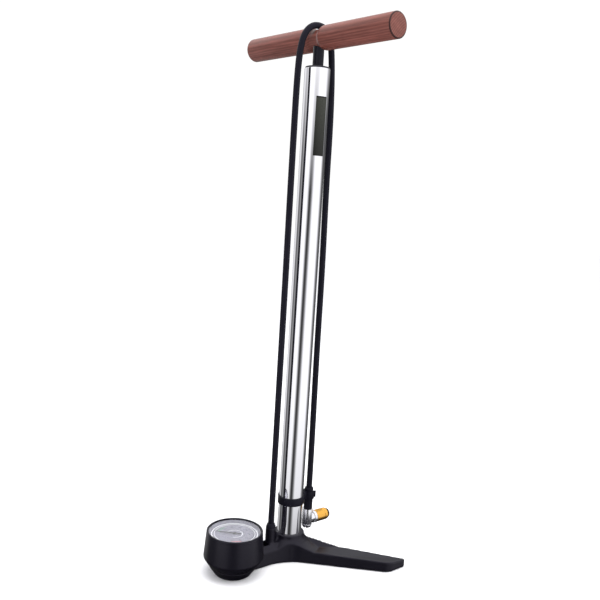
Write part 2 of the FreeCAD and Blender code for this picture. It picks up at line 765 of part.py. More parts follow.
def handle():
    """The turned wooden cross handle, grooved for the parked hose, and the bolt through it."""
    half = S.handle_length / 2
    radius = S.handle_radius
    end = radius - S.handle_chamfer
    body = turned("handle_blank", [
        (0, -half), (end, -half), (radius, S.handle_chamfer - half), (radius, -S.groove_mouth_half),
        (S.groove_radius, -S.groove_floor_half), (S.groove_radius, S.groove_floor_half),
        (radius, S.groove_mouth_half), (radius, half - S.handle_chamfer), (end, half), (0, half)],
        0, 0, S.handle_height, ALONG_X)
    doc.recompute()
    rims = (S.groove_mouth_half.value, S.groove_floor_half.value)

    def is_groove_rim(edge):
        bounds = edge.BoundBox
        flat = bounds.ZLength < TOLERANCE
        return flat and any(abs(abs(bounds.ZMin) - rim) < TOLERANCE for rim in rims)

    spun = body.Tip
    rounds = body.newObject("PartDesign::Fillet", "groove_rounds")
    rounds.Base = (spun, edges_where(spun.Shape, is_groove_rim))
    bind(rounds, "Radius", S.groove_round)
    resting = doc.addObject("Part::Compound", "handle_resting")
    resting.Links = [body]
    turn_about_z(resting, S.handle_rest_turn)

    groove_top = S.handle_height + S.groove_radius
    head_top = groove_top - S.bolt_sink
    head_low = head_top - S.bolt_head_height
    rod_hole_length = S.handle_radius + ROD_TOP - S.handle_height
    bores = [
        cylinder("rod_hole", S.rod_radius + S.rod_hole_clearance, rod_hole_length,
                 0, 0, S.handle_height - S.handle_radius),
        cylinder("bolt_hole", S.stud_radius + S.bolt_clearance, head_low - ROD_TOP,
                 0, 0, ROD_TOP),
        cylinder("bolt_recess", S.bolt_head_radius + S.bolt_clearance,
                 S.bolt_head_height + S.handle_radius, 0, 0, head_low),
    ]
    name_it(cut("handle_grip", resting, fuse("handle_bores", bores)), "handle_grip")
    shank_low = ROD_TOP - S.plug_length
    name_it(turned("handle_bolt", [
        (0, shank_low), (S.stud_radius, shank_low), (S.stud_radius, head_low),
        (S.bolt_head_radius, head_low), (S.bolt_head_radius, head_top), (0, head_top)]),
        "handle_bolt")


# ---------------------------------------------------------------- the gauge
def gauge():
    """The dial gauge: shell, bezel, glass, dial, needle, movement, bourdon tube and screws."""
    def taper_radius(height):
        share = (height - S.gauge_wide_height) / (S.gauge_rim_height - S.gauge_wide_height)
        return along(S.gauge_wide_radius, S.gauge_rim_radius, share)

    joint_radius = taper_radius(GLASS_LOW)
    ledge_low = DIAL_LOW - S.dial_ledge * 3
    lip = S.gauge_rim_radius - S.bezel_wall
    mouth = S.glass_radius - S.glass_ledge
    throat = mouth - S.dial_ledge
    foot_inside = S.gauge_seam_radius - S.gauge_wall
    wide_inside = S.gauge_wide_radius - S.gauge_wall
    shell = turned("shell_blank", [
        (0, S.gauge_seam_height), (S.gauge_seam_radius, S.gauge_seam_height),
        (S.gauge_wide_radius, S.gauge_wide_height), (joint_radius, GLASS_LOW),
        (mouth, GLASS_LOW), (mouth, DIAL_LOW), (throat, DIAL_LOW),
        (throat, DIAL_LOW - S.dial_ledge), (taper_radius(ledge_low) - S.gauge_wall, ledge_low),
        (wide_inside, S.gauge_wide_height), (foot_inside, SHELL_FLOOR), (0, SHELL_FLOOR)],
        0, GAUGE_Y)
    bosses = [cylinder(f"boss_{i}", S.boss_radius, S.boss_height + S.gauge_floor,
                       x, y, S.gauge_seam_height)
              for i, (x, y) in enumerate(spread(GAUGE_SCREWS, S.boss_ring, ZERO, GAUGE_Y))]
    screw_low = S.foot_gap + S.screw_recess - S.screw_head_height
    screw_high = SHELL_FLOOR + S.boss_height - S.screw_radius
    holes = [cylinder(f"pilot_{i}", S.screw_radius + S.plug_clearance,
                      screw_high - S.gauge_seam_height, x, y, S.gauge_seam_height)
             for i, (x, y) in enumerate(spread(GAUGE_SCREWS, S.boss_ring, ZERO, GAUGE_Y))]
    holes.append(cylinder("stem_hole", S.socket_stem_radius + S.socket_clearance, S.gauge_floor,
                          0, SOCKET_STEM_Y, S.gauge_seam_height))
    with_bosses = fuse("shell_with_bosses", [shell] + bosses)
    name_it(cut("gauge_shell", with_bosses, fuse("shell_holes", holes)), "gauge_shell")

    screws = []
    for i, (x, y) in enumerate(spread(GAUGE_SCREWS, S.boss_ring, ZERO, GAUGE_Y)):
        screws.append(turned(f"gauge_screw_{i}", [
            (0, screw_low), (S.screw_head_radius, screw_low),
            (S.screw_head_radius, screw_low + S.screw_head_height),
            (S.screw_radius, screw_low + S.screw_head_height), (S.screw_radius, screw_high),
            (0, screw_high)], x, y))
    name_it(group("gauge_screws", screws), "gauge_screws")

    seat = S.glass_radius + S.pad_clearance
    name_it(turned("gauge_bezel", [
        (seat, GLASS_LOW), (joint_radius, GLASS_LOW), (S.gauge_rim_radius, S.gauge_rim_height),
        (lip, S.gauge_rim_height), (lip, GLASS_TOP), (seat, GLASS_TOP)], 0, GAUGE_Y),
        "gauge_bezel")
    name_it(cylinder("gauge_glass", S.glass_radius, S.glass_thickness, 0, GAUGE_Y, GLASS_LOW),
            "gauge_glass")
    name_it(ring("gauge_dial", mouth - S.pad_clearance, S.dial_hole, S.dial_thickness,
                 0, GAUGE_Y, DIAL_LOW), "gauge_dial")

    drum_high = DIAL_LOW - S.dial_thickness
    drum_low = drum_high - S.movement_height
    half = S.movement_width / 2
    bore = S.spindle_radius + S.running_clearance
    name_it(turned("gauge_movement", [
        (bore, SHELL_FLOOR), (half, SHELL_FLOOR), (half, SHELL_FLOOR + S.gauge_floor),
        (half / 2, SHELL_FLOOR + S.gauge_floor), (half / 2, drum_low), (half, drum_low),
        (half, drum_high), (bore, drum_high)], 0, GAUGE_Y), "gauge_movement")
    needle_low = DIAL_TOP + S.needle_lift
    needle_high = needle_low + S.needle_thickness
    name_it(cylinder("gauge_spindle", S.spindle_radius, needle_high - drum_low,
                     0, GAUGE_Y, drum_low), "gauge_spindle")
    hub = cylinder("needle_hub", S.needle_hub_radius, S.needle_thickness * 2,
                   0, GAUGE_Y, needle_low)
    hand = box("needle_hand", S.needle_length + S.needle_tail, S.needle_width, S.needle_thickness,
               -S.needle_tail, -S.needle_width / 2, 0)
    pose = doc.addObject("Part::Compound", "needle_hand_turned")
    pose.Links = [hand]
    place(pose, 0, GAUGE_Y, needle_low)
    turn_about_z(pose, S.needle_rest_angle)
    hole = cylinder("needle_hole", S.spindle_radius + S.plug_clearance, S.needle_thickness * 2,
                    0, GAUGE_Y, needle_low)
    name_it(cut("gauge_needle", fuse("needle_blank", [hub, pose]), hole), "gauge_needle")

    width = S.socket_width
    block = box("socket_block", width, width, S.socket_height, -width / 2,
                SOCKET_STEM_Y - width / 2, SHELL_FLOOR)
    stem = cylinder("socket_stem", S.socket_stem_radius, SHELL_FLOOR - S.passage_height,
                    0, SOCKET_STEM_Y, S.passage_height)
    tube_height = SHELL_FLOOR + S.socket_height - S.bourdon_tube_radius * 2
    gas_way = cylinder("socket_way", S.passage_radius, tube_height - S.passage_height,
                       0, SOCKET_STEM_Y, S.passage_height)
    seat_torus = torus("bourdon_seat", S.bourdon_radius, S.bourdon_tube_radius + S.plug_clearance,
                       as_size(360), tube_height)
    name_it(cut("gauge_socket", fuse("socket_blank", [block, stem]),
                fuse("socket_ways", [gas_way, seat_torus])), "gauge_socket")
    name_it(torus("bourdon_tube", S.bourdon_radius, S.bourdon_tube_radius, S.bourdon_sweep_angle,
                  tube_height), "bourdon_tube")


def torus(name, radius, tube_radius, sweep, height):
    """A stretch of ring around the gauge's axis that starts on the barrel's side."""
    solid = doc.addObject("Part::Torus", name)
    bind(solid, "Radius1", radius)
    bind(solid, "Radius2", tube_radius)
    bind(solid, "Angle3", sweep)
    return place(solid, 0, GAUGE_Y, height, FreeCAD.Rotation(FreeCAD.Vector(0, 0, 1), 90))


# ---------------------------------------------------------------- the hose
# The hose runs up behind the gauge, over the handle's groove and down to the parked head.
# Going up: off the port's axis in x and y, and the share of the way up to the handle's axis.
HOSE_UP = [
    (0, 0, 0.13245), (-0.3, 0.3, 0.32305), (0.3, 0, 0.51365), (-0.5, 0.3, 0.69133),
    (-0.4, 0.2, 0.82378),
]
# Over the handle: from its axis, in widths of the seat that the groove makes for the hose.
HOSE_OVER = [
    (-0.07895, -1.97368, -3.49342), (-0.13158, -1.82237, -1.125), (-0.17105, -1.41447, 0.29605),
    (-0.15789, -0.52632, 1.08553), (-0.11842, 0.52632, 0.99342), (-0.06579, 1.18421, 0.125),
    (-0.02632, 1.44079, -1.25658), (0, 1.60526, -3.49342),
]
# Going down: off the parked head's axis in x and y, and the share of the way up from it.
HOSE_DOWN = [
    (0.3, -4.6, 0.82439), (-0.3, -4.1, 0.70175), (0.4, -2.5, 0.52291), (-0.3, -1.8, 0.33725),
    (0.2, -0.9, 0.17033), (0, 0, 0.06472),
]


def hose_points():
    """The route's corners, from the port to the parked head."""
    seat = S.groove_radius.value + S.hose_radius.value
    top = S.handle_height.value
    port = FreeCAD.Vector(0, PORT_Y.value, S.port_top.value)
    entry = FreeCAD.Vector(0, HEAD_Y.value, (S.head_boot_high - S.hose_entry).value)
    rising = [port + FreeCAD.Vector(x, y, share * (top - port.z)) for x, y, share in HOSE_UP]
    over = [FreeCAD.Vector(x * seat, y * seat, top + z * seat) for x, y, z in HOSE_OVER]
    falling = [entry + FreeCAD.Vector(x, y, share * (top - entry.z)) for x, y, share in HOSE_DOWN]
    return [port] + rising + over + falling + [entry]


def hose():
    """The hose: straight runs joined by tangent arcs, each arc as large as its runs allow."""
    points = hose_points()
    edges = []
    start = points[0]
    radii = []
    for before, here, after in zip(points, points[1:], points[2:]):
        back = before - here
        ahead = after - here
        shorter = min(back.Length, ahead.Length)
        turn = math.pi - back.getAngle(ahead)
        radius = 0.45 * shorter / math.tan(turn / 2)
        radii.append(round(radius, 1))
        setback = 0.45 * shorter
        back.normalize()
        ahead.normalize()
        bisector = (back + ahead).normalize()
        middle = here + bisector * (radius / math.cos(turn / 2) - radius)
        into = here + back * setback
        out = here + ahead * setback
        edges.append(Part.LineSegment(start, into).toShape())
        edges.append(Part.Arc(into, middle, out).toShape())
        start = out
    edges.append(Part.LineSegment(start, points[-1]).toShape())
    path = Part.Wire(edges)
    section_radius = S.hose_radius.value
    section = Part.Wire(Part.makeCircle(section_radius, points[0], points[1] - points[0]))
    tube = path.makePipeShell([section], True, False)
    ideal = math.pi * section_radius ** 2 * path.Length
    print("hose radii", radii)
    print(f"hose length {path.Length:.1f}, volume {tube.Volume:.0f} for {ideal:.0f}")
    node = doc.addObject("Part::Feature", "hose")
    node.Shape = tube
    node.Placement = FreeCAD.Placement()
    name_it(node, "hose")


def hose_port_fittings():
    """The nipple pressed into the port and the rubber boot over it."""
    name_it(ring("hose_nipple", S.nipple_radius, S.nipple_bore, S.nipple_depth,
                 0, PORT_Y, S.port_top - S.nipple_depth), "hose_nipple")
    inner = S.hose_radius + S.hose_clearance
    high = S.port_top + S.boot_shoulder
    name_it(turned("hose_boot", [
        (inner, S.port_top), (S.port_radius, S.port_top), (S.boot_top_radius, high),
        (inner, high)], 0, PORT_Y), "hose_boot")


def head_clip():
    """The strap round the barrel with the springy C that holds the parked valve head."""
    height = S.strap_high - S.strap_low
    inner = S.barrel_radius + S.socket_clearance
    strap = ring("strap", inner + S.strap_thickness, inner, height, 0, 0, S.strap_low)
    c_inner = S.head_boot_radius + S.hose_clearance
    c_outer = c_inner + S.clip_wall
    c_height = S.clip_high - S.clip_low
    wrap = 360 - S.clip_mouth_angle
    c_skin = cylinder("clip_skin", c_outer, c_height, 0, HEAD_Y, S.clip_low, sweep=wrap)
    turn_about_z(c_skin, 90 + S.clip_mouth_angle / 2)
    web_start = inner + S.strap_thickness / 2
    web_length = HEAD_Y - c_inner - S.clip_wall / 2 - web_start
    web = box("clip_web", S.clip_web, web_length, height, -S.clip_web / 2, web_start, S.strap_low)
    pieces = [strap, c_skin, web]
    lip_height = S.clip_high - S.lip_low
    half_mouth = math.radians(S.clip_mouth_angle.value / 2)
    for side in (1, -1):
        lip = box(f"lip_{side}", S.lip_length, S.lip_thickness, lip_height, 0,
                  -S.lip_thickness / 2, 0)
        reach = c_inner + S.clip_wall / 2
        holder = doc.addObject("Part::Compound", f"lip_holder_{side}")
        holder.Links = [lip]
        place(holder, reach * (side * math.sin(half_mouth)),
              HEAD_Y + reach * math.cos(half_mouth) - S.clip_wall / 4, S.lip_low)
        turn_about_z(holder, 90 - side * S.lip_splay_angle)
        pieces.append(holder)
    core = cylinder("clip_core", c_inner, c_height, 0, HEAD_Y, S.clip_low)
    name_it(cut("head_clip", fuse("clip_blank", pieces), core), "head_clip")


# ---------------------------------------------------------------- the valve head
def valve_head():
    """The parked valve head: boot, body, castellated core tool, and the screw-down chuck."""
    bore = S.hose_radius + S.hose_clearance
    entry = S.head_boot_high - S.hose_entry
    name_it(turned("head_boot", [
        (S.air_bore, S.head_boot_low), (S.head_boot_radius, S.head_boot_low),
        (S.head_boot_radius, S.head_boot_high - S.boot_rim), (bore + S.boot_rim, S.head_boot_high),
        (bore, S.head_boot_high), (bore, entry), (S.air_bore, entry)], 0, HEAD_Y), "head_boot")

    blank = cylinder("body_blank", S.body_radius, S.head_boot_low - S.body_low,
                     0, HEAD_Y, S.body_low)
    face = HEAD_Y + S.neck_seat
    ways = [
        cylinder("body_air_way", S.air_bore, S.head_boot_low - S.chuck_height,
                 0, HEAD_Y, S.chuck_height),
        cylinder("body_cross_way", S.air_bore, S.neck_seat, 0, HEAD_Y, S.chuck_height, ALONG_Y),
        cylinder("neck_face", S.neck_radius + S.socket_clearance, S.body_radius,
                 0, face, S.chuck_height, ALONG_Y),
        cylinder("tool_pin_hole", S.tool_pin_radius + S.running_clearance, S.tool_pin_length,
                 0, HEAD_Y, S.body_low),
    ]
    count = int(S.flute_count.value)
    for i, (x, y) in enumerate(spread(count, S.body_radius + S.flute_radius / 3, ZERO, HEAD_Y)):
        ways.append(cylinder(f"flute_{i}", S.flute_radius, S.flute_top - S.body_low,
                             x, y, S.body_low))
    name_it(cut("valve_body", blank, fuse("body_ways", ways)), "valve_body")

    cap_top = S.body_low - S.tool_cap_gap
    taper_high = S.tool_cap_low + S.tool_cap_taper
    rim = S.body_radius - S.tool_cap_gap
    tooth_inner = S.tool_pin_radius
    cap = turned("tool_cap_blank", [
        (0, S.tool_cap_low + S.tool_tooth_height), (tooth_inner, S.tool_cap_low + S.tool_tooth_height),
        (tooth_inner, S.tool_cap_low), (S.tool_cap_end_radius, S.tool_cap_low), (rim, taper_high),
        (rim, cap_top), (S.tool_pin_radius, cap_top),
        (S.tool_pin_radius, cap_top + S.tool_pin_length), (0, cap_top + S.tool_pin_length)],
        0, HEAD_Y)
    slots = []
    for i in range(TOOTH_SLOTS):
        slot = box(f"tooth_slot_{i}", S.body_radius * 2, S.tool_tooth_slot, S.tool_tooth_height,
                   -S.body_radius, -S.tool_tooth_slot / 2, 0)
        holder = doc.addObject("Part::Compound", f"slot_holder_{i}")
        holder.Links = [slot]
        place(holder, 0, HEAD_Y, S.tool_cap_low, FreeCAD.Rotation(FreeCAD.Vector(0, 0, 1), 180 * i / TOOTH_SLOTS))
        slots.append(holder)
    name_it(cut("core_tool", cap, fuse("tooth_slots", slots)), "core_tool")

    def chuck_piece(name, points):
        name_it(turned(name, points, 0, HEAD_Y, S.chuck_height, ALONG_Y), name)

    def from_head(distance):
        return distance - HEAD_Y

    seat = S.neck_seat
    thread_end = from_head(S.sleeve_end - S.sleeve_end_wall - S.pad_clearance)
    cavity = from_head(S.cavity_start)
    flange_end = from_head(S.sleeve_start - S.thread_clearance)
    chuck_piece("chuck_stem", [
        (S.air_bore, seat), (S.neck_radius, seat), (S.neck_radius, from_head(S.flange_start)),
        (S.flange_radius, from_head(S.flange_start)), (S.flange_radius, flange_end),
        (S.thread_radius, flange_end), (S.thread_radius, thread_end),
        (S.cavity_radius, thread_end), (S.cavity_radius, cavity), (S.air_bore, cavity)])
    nut = S.thread_radius + S.thread_clearance
    end = from_head(S.sleeve_end)
    wall_start = end - S.sleeve_end_wall
    chuck_piece("chuck_sleeve", [
        (nut, from_head(S.sleeve_start)), (S.sleeve_radius, from_head(S.sleeve_start)),
        (S.sleeve_radius, end - S.sleeve_nose), (S.sleeve_nose_radius, end),
        (S.chuck_mouth, end), (S.chuck_mouth, wall_start), (nut, wall_start)])
    chuck_piece("chuck_end_ring", [
        (S.chuck_mouth, end), (S.end_ring_radius, end),
        (S.end_ring_radius, end + S.end_ring_thickness),
        (S.chuck_mouth, end + S.end_ring_thickness)])
    packing = S.cavity_radius - S.pad_clearance
    gasket_end = from_head(S.gasket_end)
    chuck_piece("chuck_gasket", [
        (S.chuck_mouth, from_head(S.gasket_start)), (packing, from_head(S.gasket_start)),
        (packing, gasket_end), (S.chuck_mouth, gasket_end)])
    push = gasket_end + S.squeeze_gap
    push_radius = S.cavity_radius - S.thread_clearance
    chuck_piece("chuck_pusher", [
        (S.chuck_mouth, push), (push_radius, push), (push_radius, push + S.pusher_thickness),
        (S.chuck_mouth, push + S.pusher_thickness)])
    foot = S.pin_length / 2
    chuck_piece("valve_pin", [
        (0, cavity - foot), (S.pin_radius, cavity - foot), (S.pin_radius, cavity),
        (S.pin_radius * 3, cavity), (S.pin_radius * 3, cavity + S.pin_radius),
        (S.pin_radius, cavity + S.pin_radius), (S.pin_radius, cavity + foot), (0, cavity + foot)])
    chuck_piece("gasket_spacer", [
        (S.spacer_bore, cavity), (packing, cavity), (packing, from_head(S.gasket_start)),
        (S.spacer_bore, from_head(S.gasket_start))])


# ---------------------------------------------------------------- build, check, write
stand()
foot_valve()
barrel()
piston()
rod()
handle()
gauge()
hose_port_fittings()
hose()
head_clip()
valve_head()
doc.recompute()

for thing in doc.Objects:
    if {"Invalid", "Error"} & set(thing.State):
        raise RuntimeError(f"{thing.Name} failed: {thing.State} {thing.getStatusString()}")
for thing in FINISHED:
    if thing.Shape.isNull() or not thing.Shape.isValid():
        raise RuntimeError(f"{thing.Label} has no valid shape")
for thing in FINISHED:
    thing.Shape.exportStep(os.path.join(OUT, f"{thing.Label}.step"))
print(len(FINISHED), "sub-parts written")
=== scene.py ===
"""Dresses a floor bicycle pump: its stand, barrel, plunger, dial gauge, hose and parked valve head."""

import logging
import math
from dataclasses import dataclass
from enum import Enum
from typing import Callable, Iterable, Sequence

import bmesh
import bpy
from mathutils import Matrix, Vector


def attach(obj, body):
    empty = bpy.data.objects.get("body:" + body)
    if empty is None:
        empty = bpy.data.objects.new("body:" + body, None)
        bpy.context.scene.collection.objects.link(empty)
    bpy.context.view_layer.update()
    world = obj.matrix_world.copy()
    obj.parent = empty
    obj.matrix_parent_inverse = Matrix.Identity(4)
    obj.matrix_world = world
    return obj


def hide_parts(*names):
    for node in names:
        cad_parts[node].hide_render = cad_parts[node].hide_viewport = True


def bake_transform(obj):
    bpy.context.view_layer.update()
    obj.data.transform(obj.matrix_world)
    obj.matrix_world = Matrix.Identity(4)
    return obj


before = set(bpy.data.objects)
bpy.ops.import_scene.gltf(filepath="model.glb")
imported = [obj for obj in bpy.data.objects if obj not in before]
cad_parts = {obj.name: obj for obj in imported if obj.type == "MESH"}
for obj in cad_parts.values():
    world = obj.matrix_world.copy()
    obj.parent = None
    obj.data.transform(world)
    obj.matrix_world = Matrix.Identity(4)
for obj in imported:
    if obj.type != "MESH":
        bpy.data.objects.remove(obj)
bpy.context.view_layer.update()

log = logging.getLogger("floor_pump")
MM = 0.001
Colour = tuple[float, float, float]
Outline = Sequence[tuple[float, float, float]]


class Axis(Enum):
    """The direction that a turned piece's own axis takes."""

    UP = Matrix.Identity(4)
    ALONG_Y = Matrix.Rotation(math.radians(-90), 4, "X")


class Keep(Enum):
    """What a carving leaves of a piece."""

    COMMON = "INTERSECT"
    REST = "DIFFERENCE"


# ---------------------------------------------------------------- node groups
class Effect:
    """Builds the shader node groups that several finishes share, each of them once."""

    @staticmethod
    def _start(name: str, inputs: dict[str, object], outputs: dict[str, str]
               ) -> tuple[bpy.types.NodeTree, bpy.types.Node, bpy.types.Node]:
        """Opens a new group with its sockets.

        Args:
            name: The group's name.
            inputs: Each input's name and its default, a number or a colour.
            outputs: Each output's name and its socket type.

        Returns:
            The tree, its input node and its output node.
        """
        tree = bpy.data.node_groups.new(name, "ShaderNodeTree")
        for label, value in inputs.items():
            kind = "NodeSocketColor" if isinstance(value, tuple) else "NodeSocketFloat"
            socket = tree.interface.new_socket(name=label, in_out="INPUT", socket_type=kind)
            socket.default_value = (*value, 1.0) if isinstance(value, tuple) else value
        for label, kind in outputs.items():
            tree.interface.new_socket(name=label, in_out="OUTPUT", socket_type=kind)
        return tree, tree.nodes.new("NodeGroupInput"), tree.nodes.new("NodeGroupOutput")

    @classmethod
    def mottle(cls) -> bpy.types.NodeTree:
        """Soft patches of a second colour, as moulded and painted surfaces have."""
        found = bpy.data.node_groups.get("mottle")
        if found:
            return found
        tree, given, out = cls._start(
            "mottle",
            {"Base": (0.5, 0.5, 0.5), "Patch": (0.4, 0.4, 0.4), "Scale": 30.0, "Amount": 0.5},
            {"Color": "NodeSocketColor"},
        )
        where = tree.nodes.new("ShaderNodeTexCoord")
        noise = tree.nodes.new("ShaderNodeTexNoise")
        noise.inputs["Detail"].default_value = 5.0
        tree.links.new(where.outputs["Object"], noise.inputs["Vector"])
        tree.links.new(given.outputs["Scale"], noise.inputs["Scale"])
        spread = tree.nodes.new("ShaderNodeMapRange")
        spread.inputs["From Min"].default_value = 0.35
        spread.inputs["From Max"].default_value = 0.65
        tree.links.new(noise.outputs["Fac"], spread.inputs["Value"])
        tree.links.new(given.outputs["Amount"], spread.inputs["To Max"])
        mix = tree.nodes.new("ShaderNodeMix")
        mix.data_type = "RGBA"
        tree.links.new(spread.outputs["Result"], mix.inputs[0])
        tree.links.new(given.outputs["Base"], mix.inputs[6])
        tree.links.new(given.outputs["Patch"], mix.inputs[7])
        tree.links.new(mix.outputs[2], out.inputs["Color"])
        return tree

    @classmethod
    def grain(cls) -> bpy.types.NodeTree:
        """A fine pebbled skin: a height for the bump and a roughness that follows it."""
        found = bpy.data.node_groups.get("grain")
        if found:
            return found
        tree, given, out = cls._start(
            "grain",
            {"Scale": 900.0, "Smooth": 0.4, "Rough": 0.5},
            {"Height": "NodeSocketFloat", "Roughness": "NodeSocketFloat"},
        )
        where = tree.nodes.new("ShaderNodeTexCoord")
        fine = tree.nodes.new("ShaderNodeTexNoise")
        fine.inputs["Detail"].default_value = 2.0
        wide = tree.nodes.new("ShaderNodeTexNoise")
        wide.inputs["Scale"].default_value = 22.0
        wide.inputs["Detail"].default_value = 4.0
        for noise in (fine, wide):
            tree.links.new(where.outputs["Object"], noise.inputs["Vector"])
        tree.links.new(given.outputs["Scale"], fine.inputs["Scale"])
        both = tree.nodes.new("ShaderNodeMath")
        both.operation = "ADD"
        half = tree.nodes.new("ShaderNodeMath")
        half.operation = "MULTIPLY"
        half.inputs[1].default_value = 0.5
        tree.links.new(fine.outputs["Fac"], both.inputs[0])
        tree.links.new(wide.outputs["Fac"], both.inputs[1])
        tree.links.new(both.outputs[0], half.inputs[0])
        spread = tree.nodes.new("ShaderNodeMapRange")
        spread.inputs["From Min"].default_value = 0.35
        spread.inputs["From Max"].default_value = 0.65
        tree.links.new(half.outputs[0], spread.inputs["Value"])
        tree.links.new(given.outputs["Smooth"], spread.inputs["To Min"])
        tree.links.new(given.outputs["Rough"], spread.inputs["To Max"])
        tree.links.new(spread.outputs["Result"], out.inputs["Roughness"])
        tree.links.new(fine.outputs["Fac"], out.inputs["Height"])
        return tree

    @classmethod
    def worn_edge(cls) -> bpy.types.NodeTree:
        """A lighter colour along outer edges: partly wear where hands and floors rub, partly a painted
        highlight where the edges would catch the light.
        """
        found = bpy.data.node_groups.get("worn_edge")
        if found:
            return found
        tree, given, out = cls._start(
            "worn_edge",
            {"Color": (0.5, 0.5, 0.5), "Worn": (0.8, 0.8, 0.8), "Start": 0.53, "Full": 0.62},
            {"Color": "NodeSocketColor", "Mask": "NodeSocketFloat"},
        )
        # Pointiness finds the outer edges; the lighter colour laid there is partly wear and partly a
        # painted highlight.
        shape = tree.nodes.new("ShaderNodeNewGeometry")
        where = tree.nodes.new("ShaderNodeTexCoord")
        noise = tree.nodes.new("ShaderNodeTexNoise")
        noise.inputs["Scale"].default_value = 160.0
        noise.inputs["Detail"].default_value = 4.0
        tree.links.new(where.outputs["Object"], noise.inputs["Vector"])
        ramp = tree.nodes.new("ShaderNodeMapRange")
        tree.links.new(shape.outputs["Pointiness"], ramp.inputs["Value"])
        tree.links.new(given.outputs["Start"], ramp.inputs["From Min"])
        tree.links.new(given.outputs["Full"], ramp.inputs["From Max"])
        broken = tree.nodes.new("ShaderNodeMath")
        broken.operation = "MULTIPLY"
        tree.links.new(ramp.outputs["Result"], broken.inputs[0])
        tree.links.new(noise.outputs["Fac"], broken.inputs[1])
        mix = tree.nodes.new("ShaderNodeMix")
        mix.data_type = "RGBA"
        tree.links.new(broken.outputs[0], mix.inputs[0])
        tree.links.new(given.outputs["Color"], mix.inputs[6])
        tree.links.new(given.outputs["Worn"], mix.inputs[7])
        tree.links.new(mix.outputs[2], out.inputs["Color"])
        tree.links.new(broken.outputs[0], out.inputs["Mask"])
        return tree


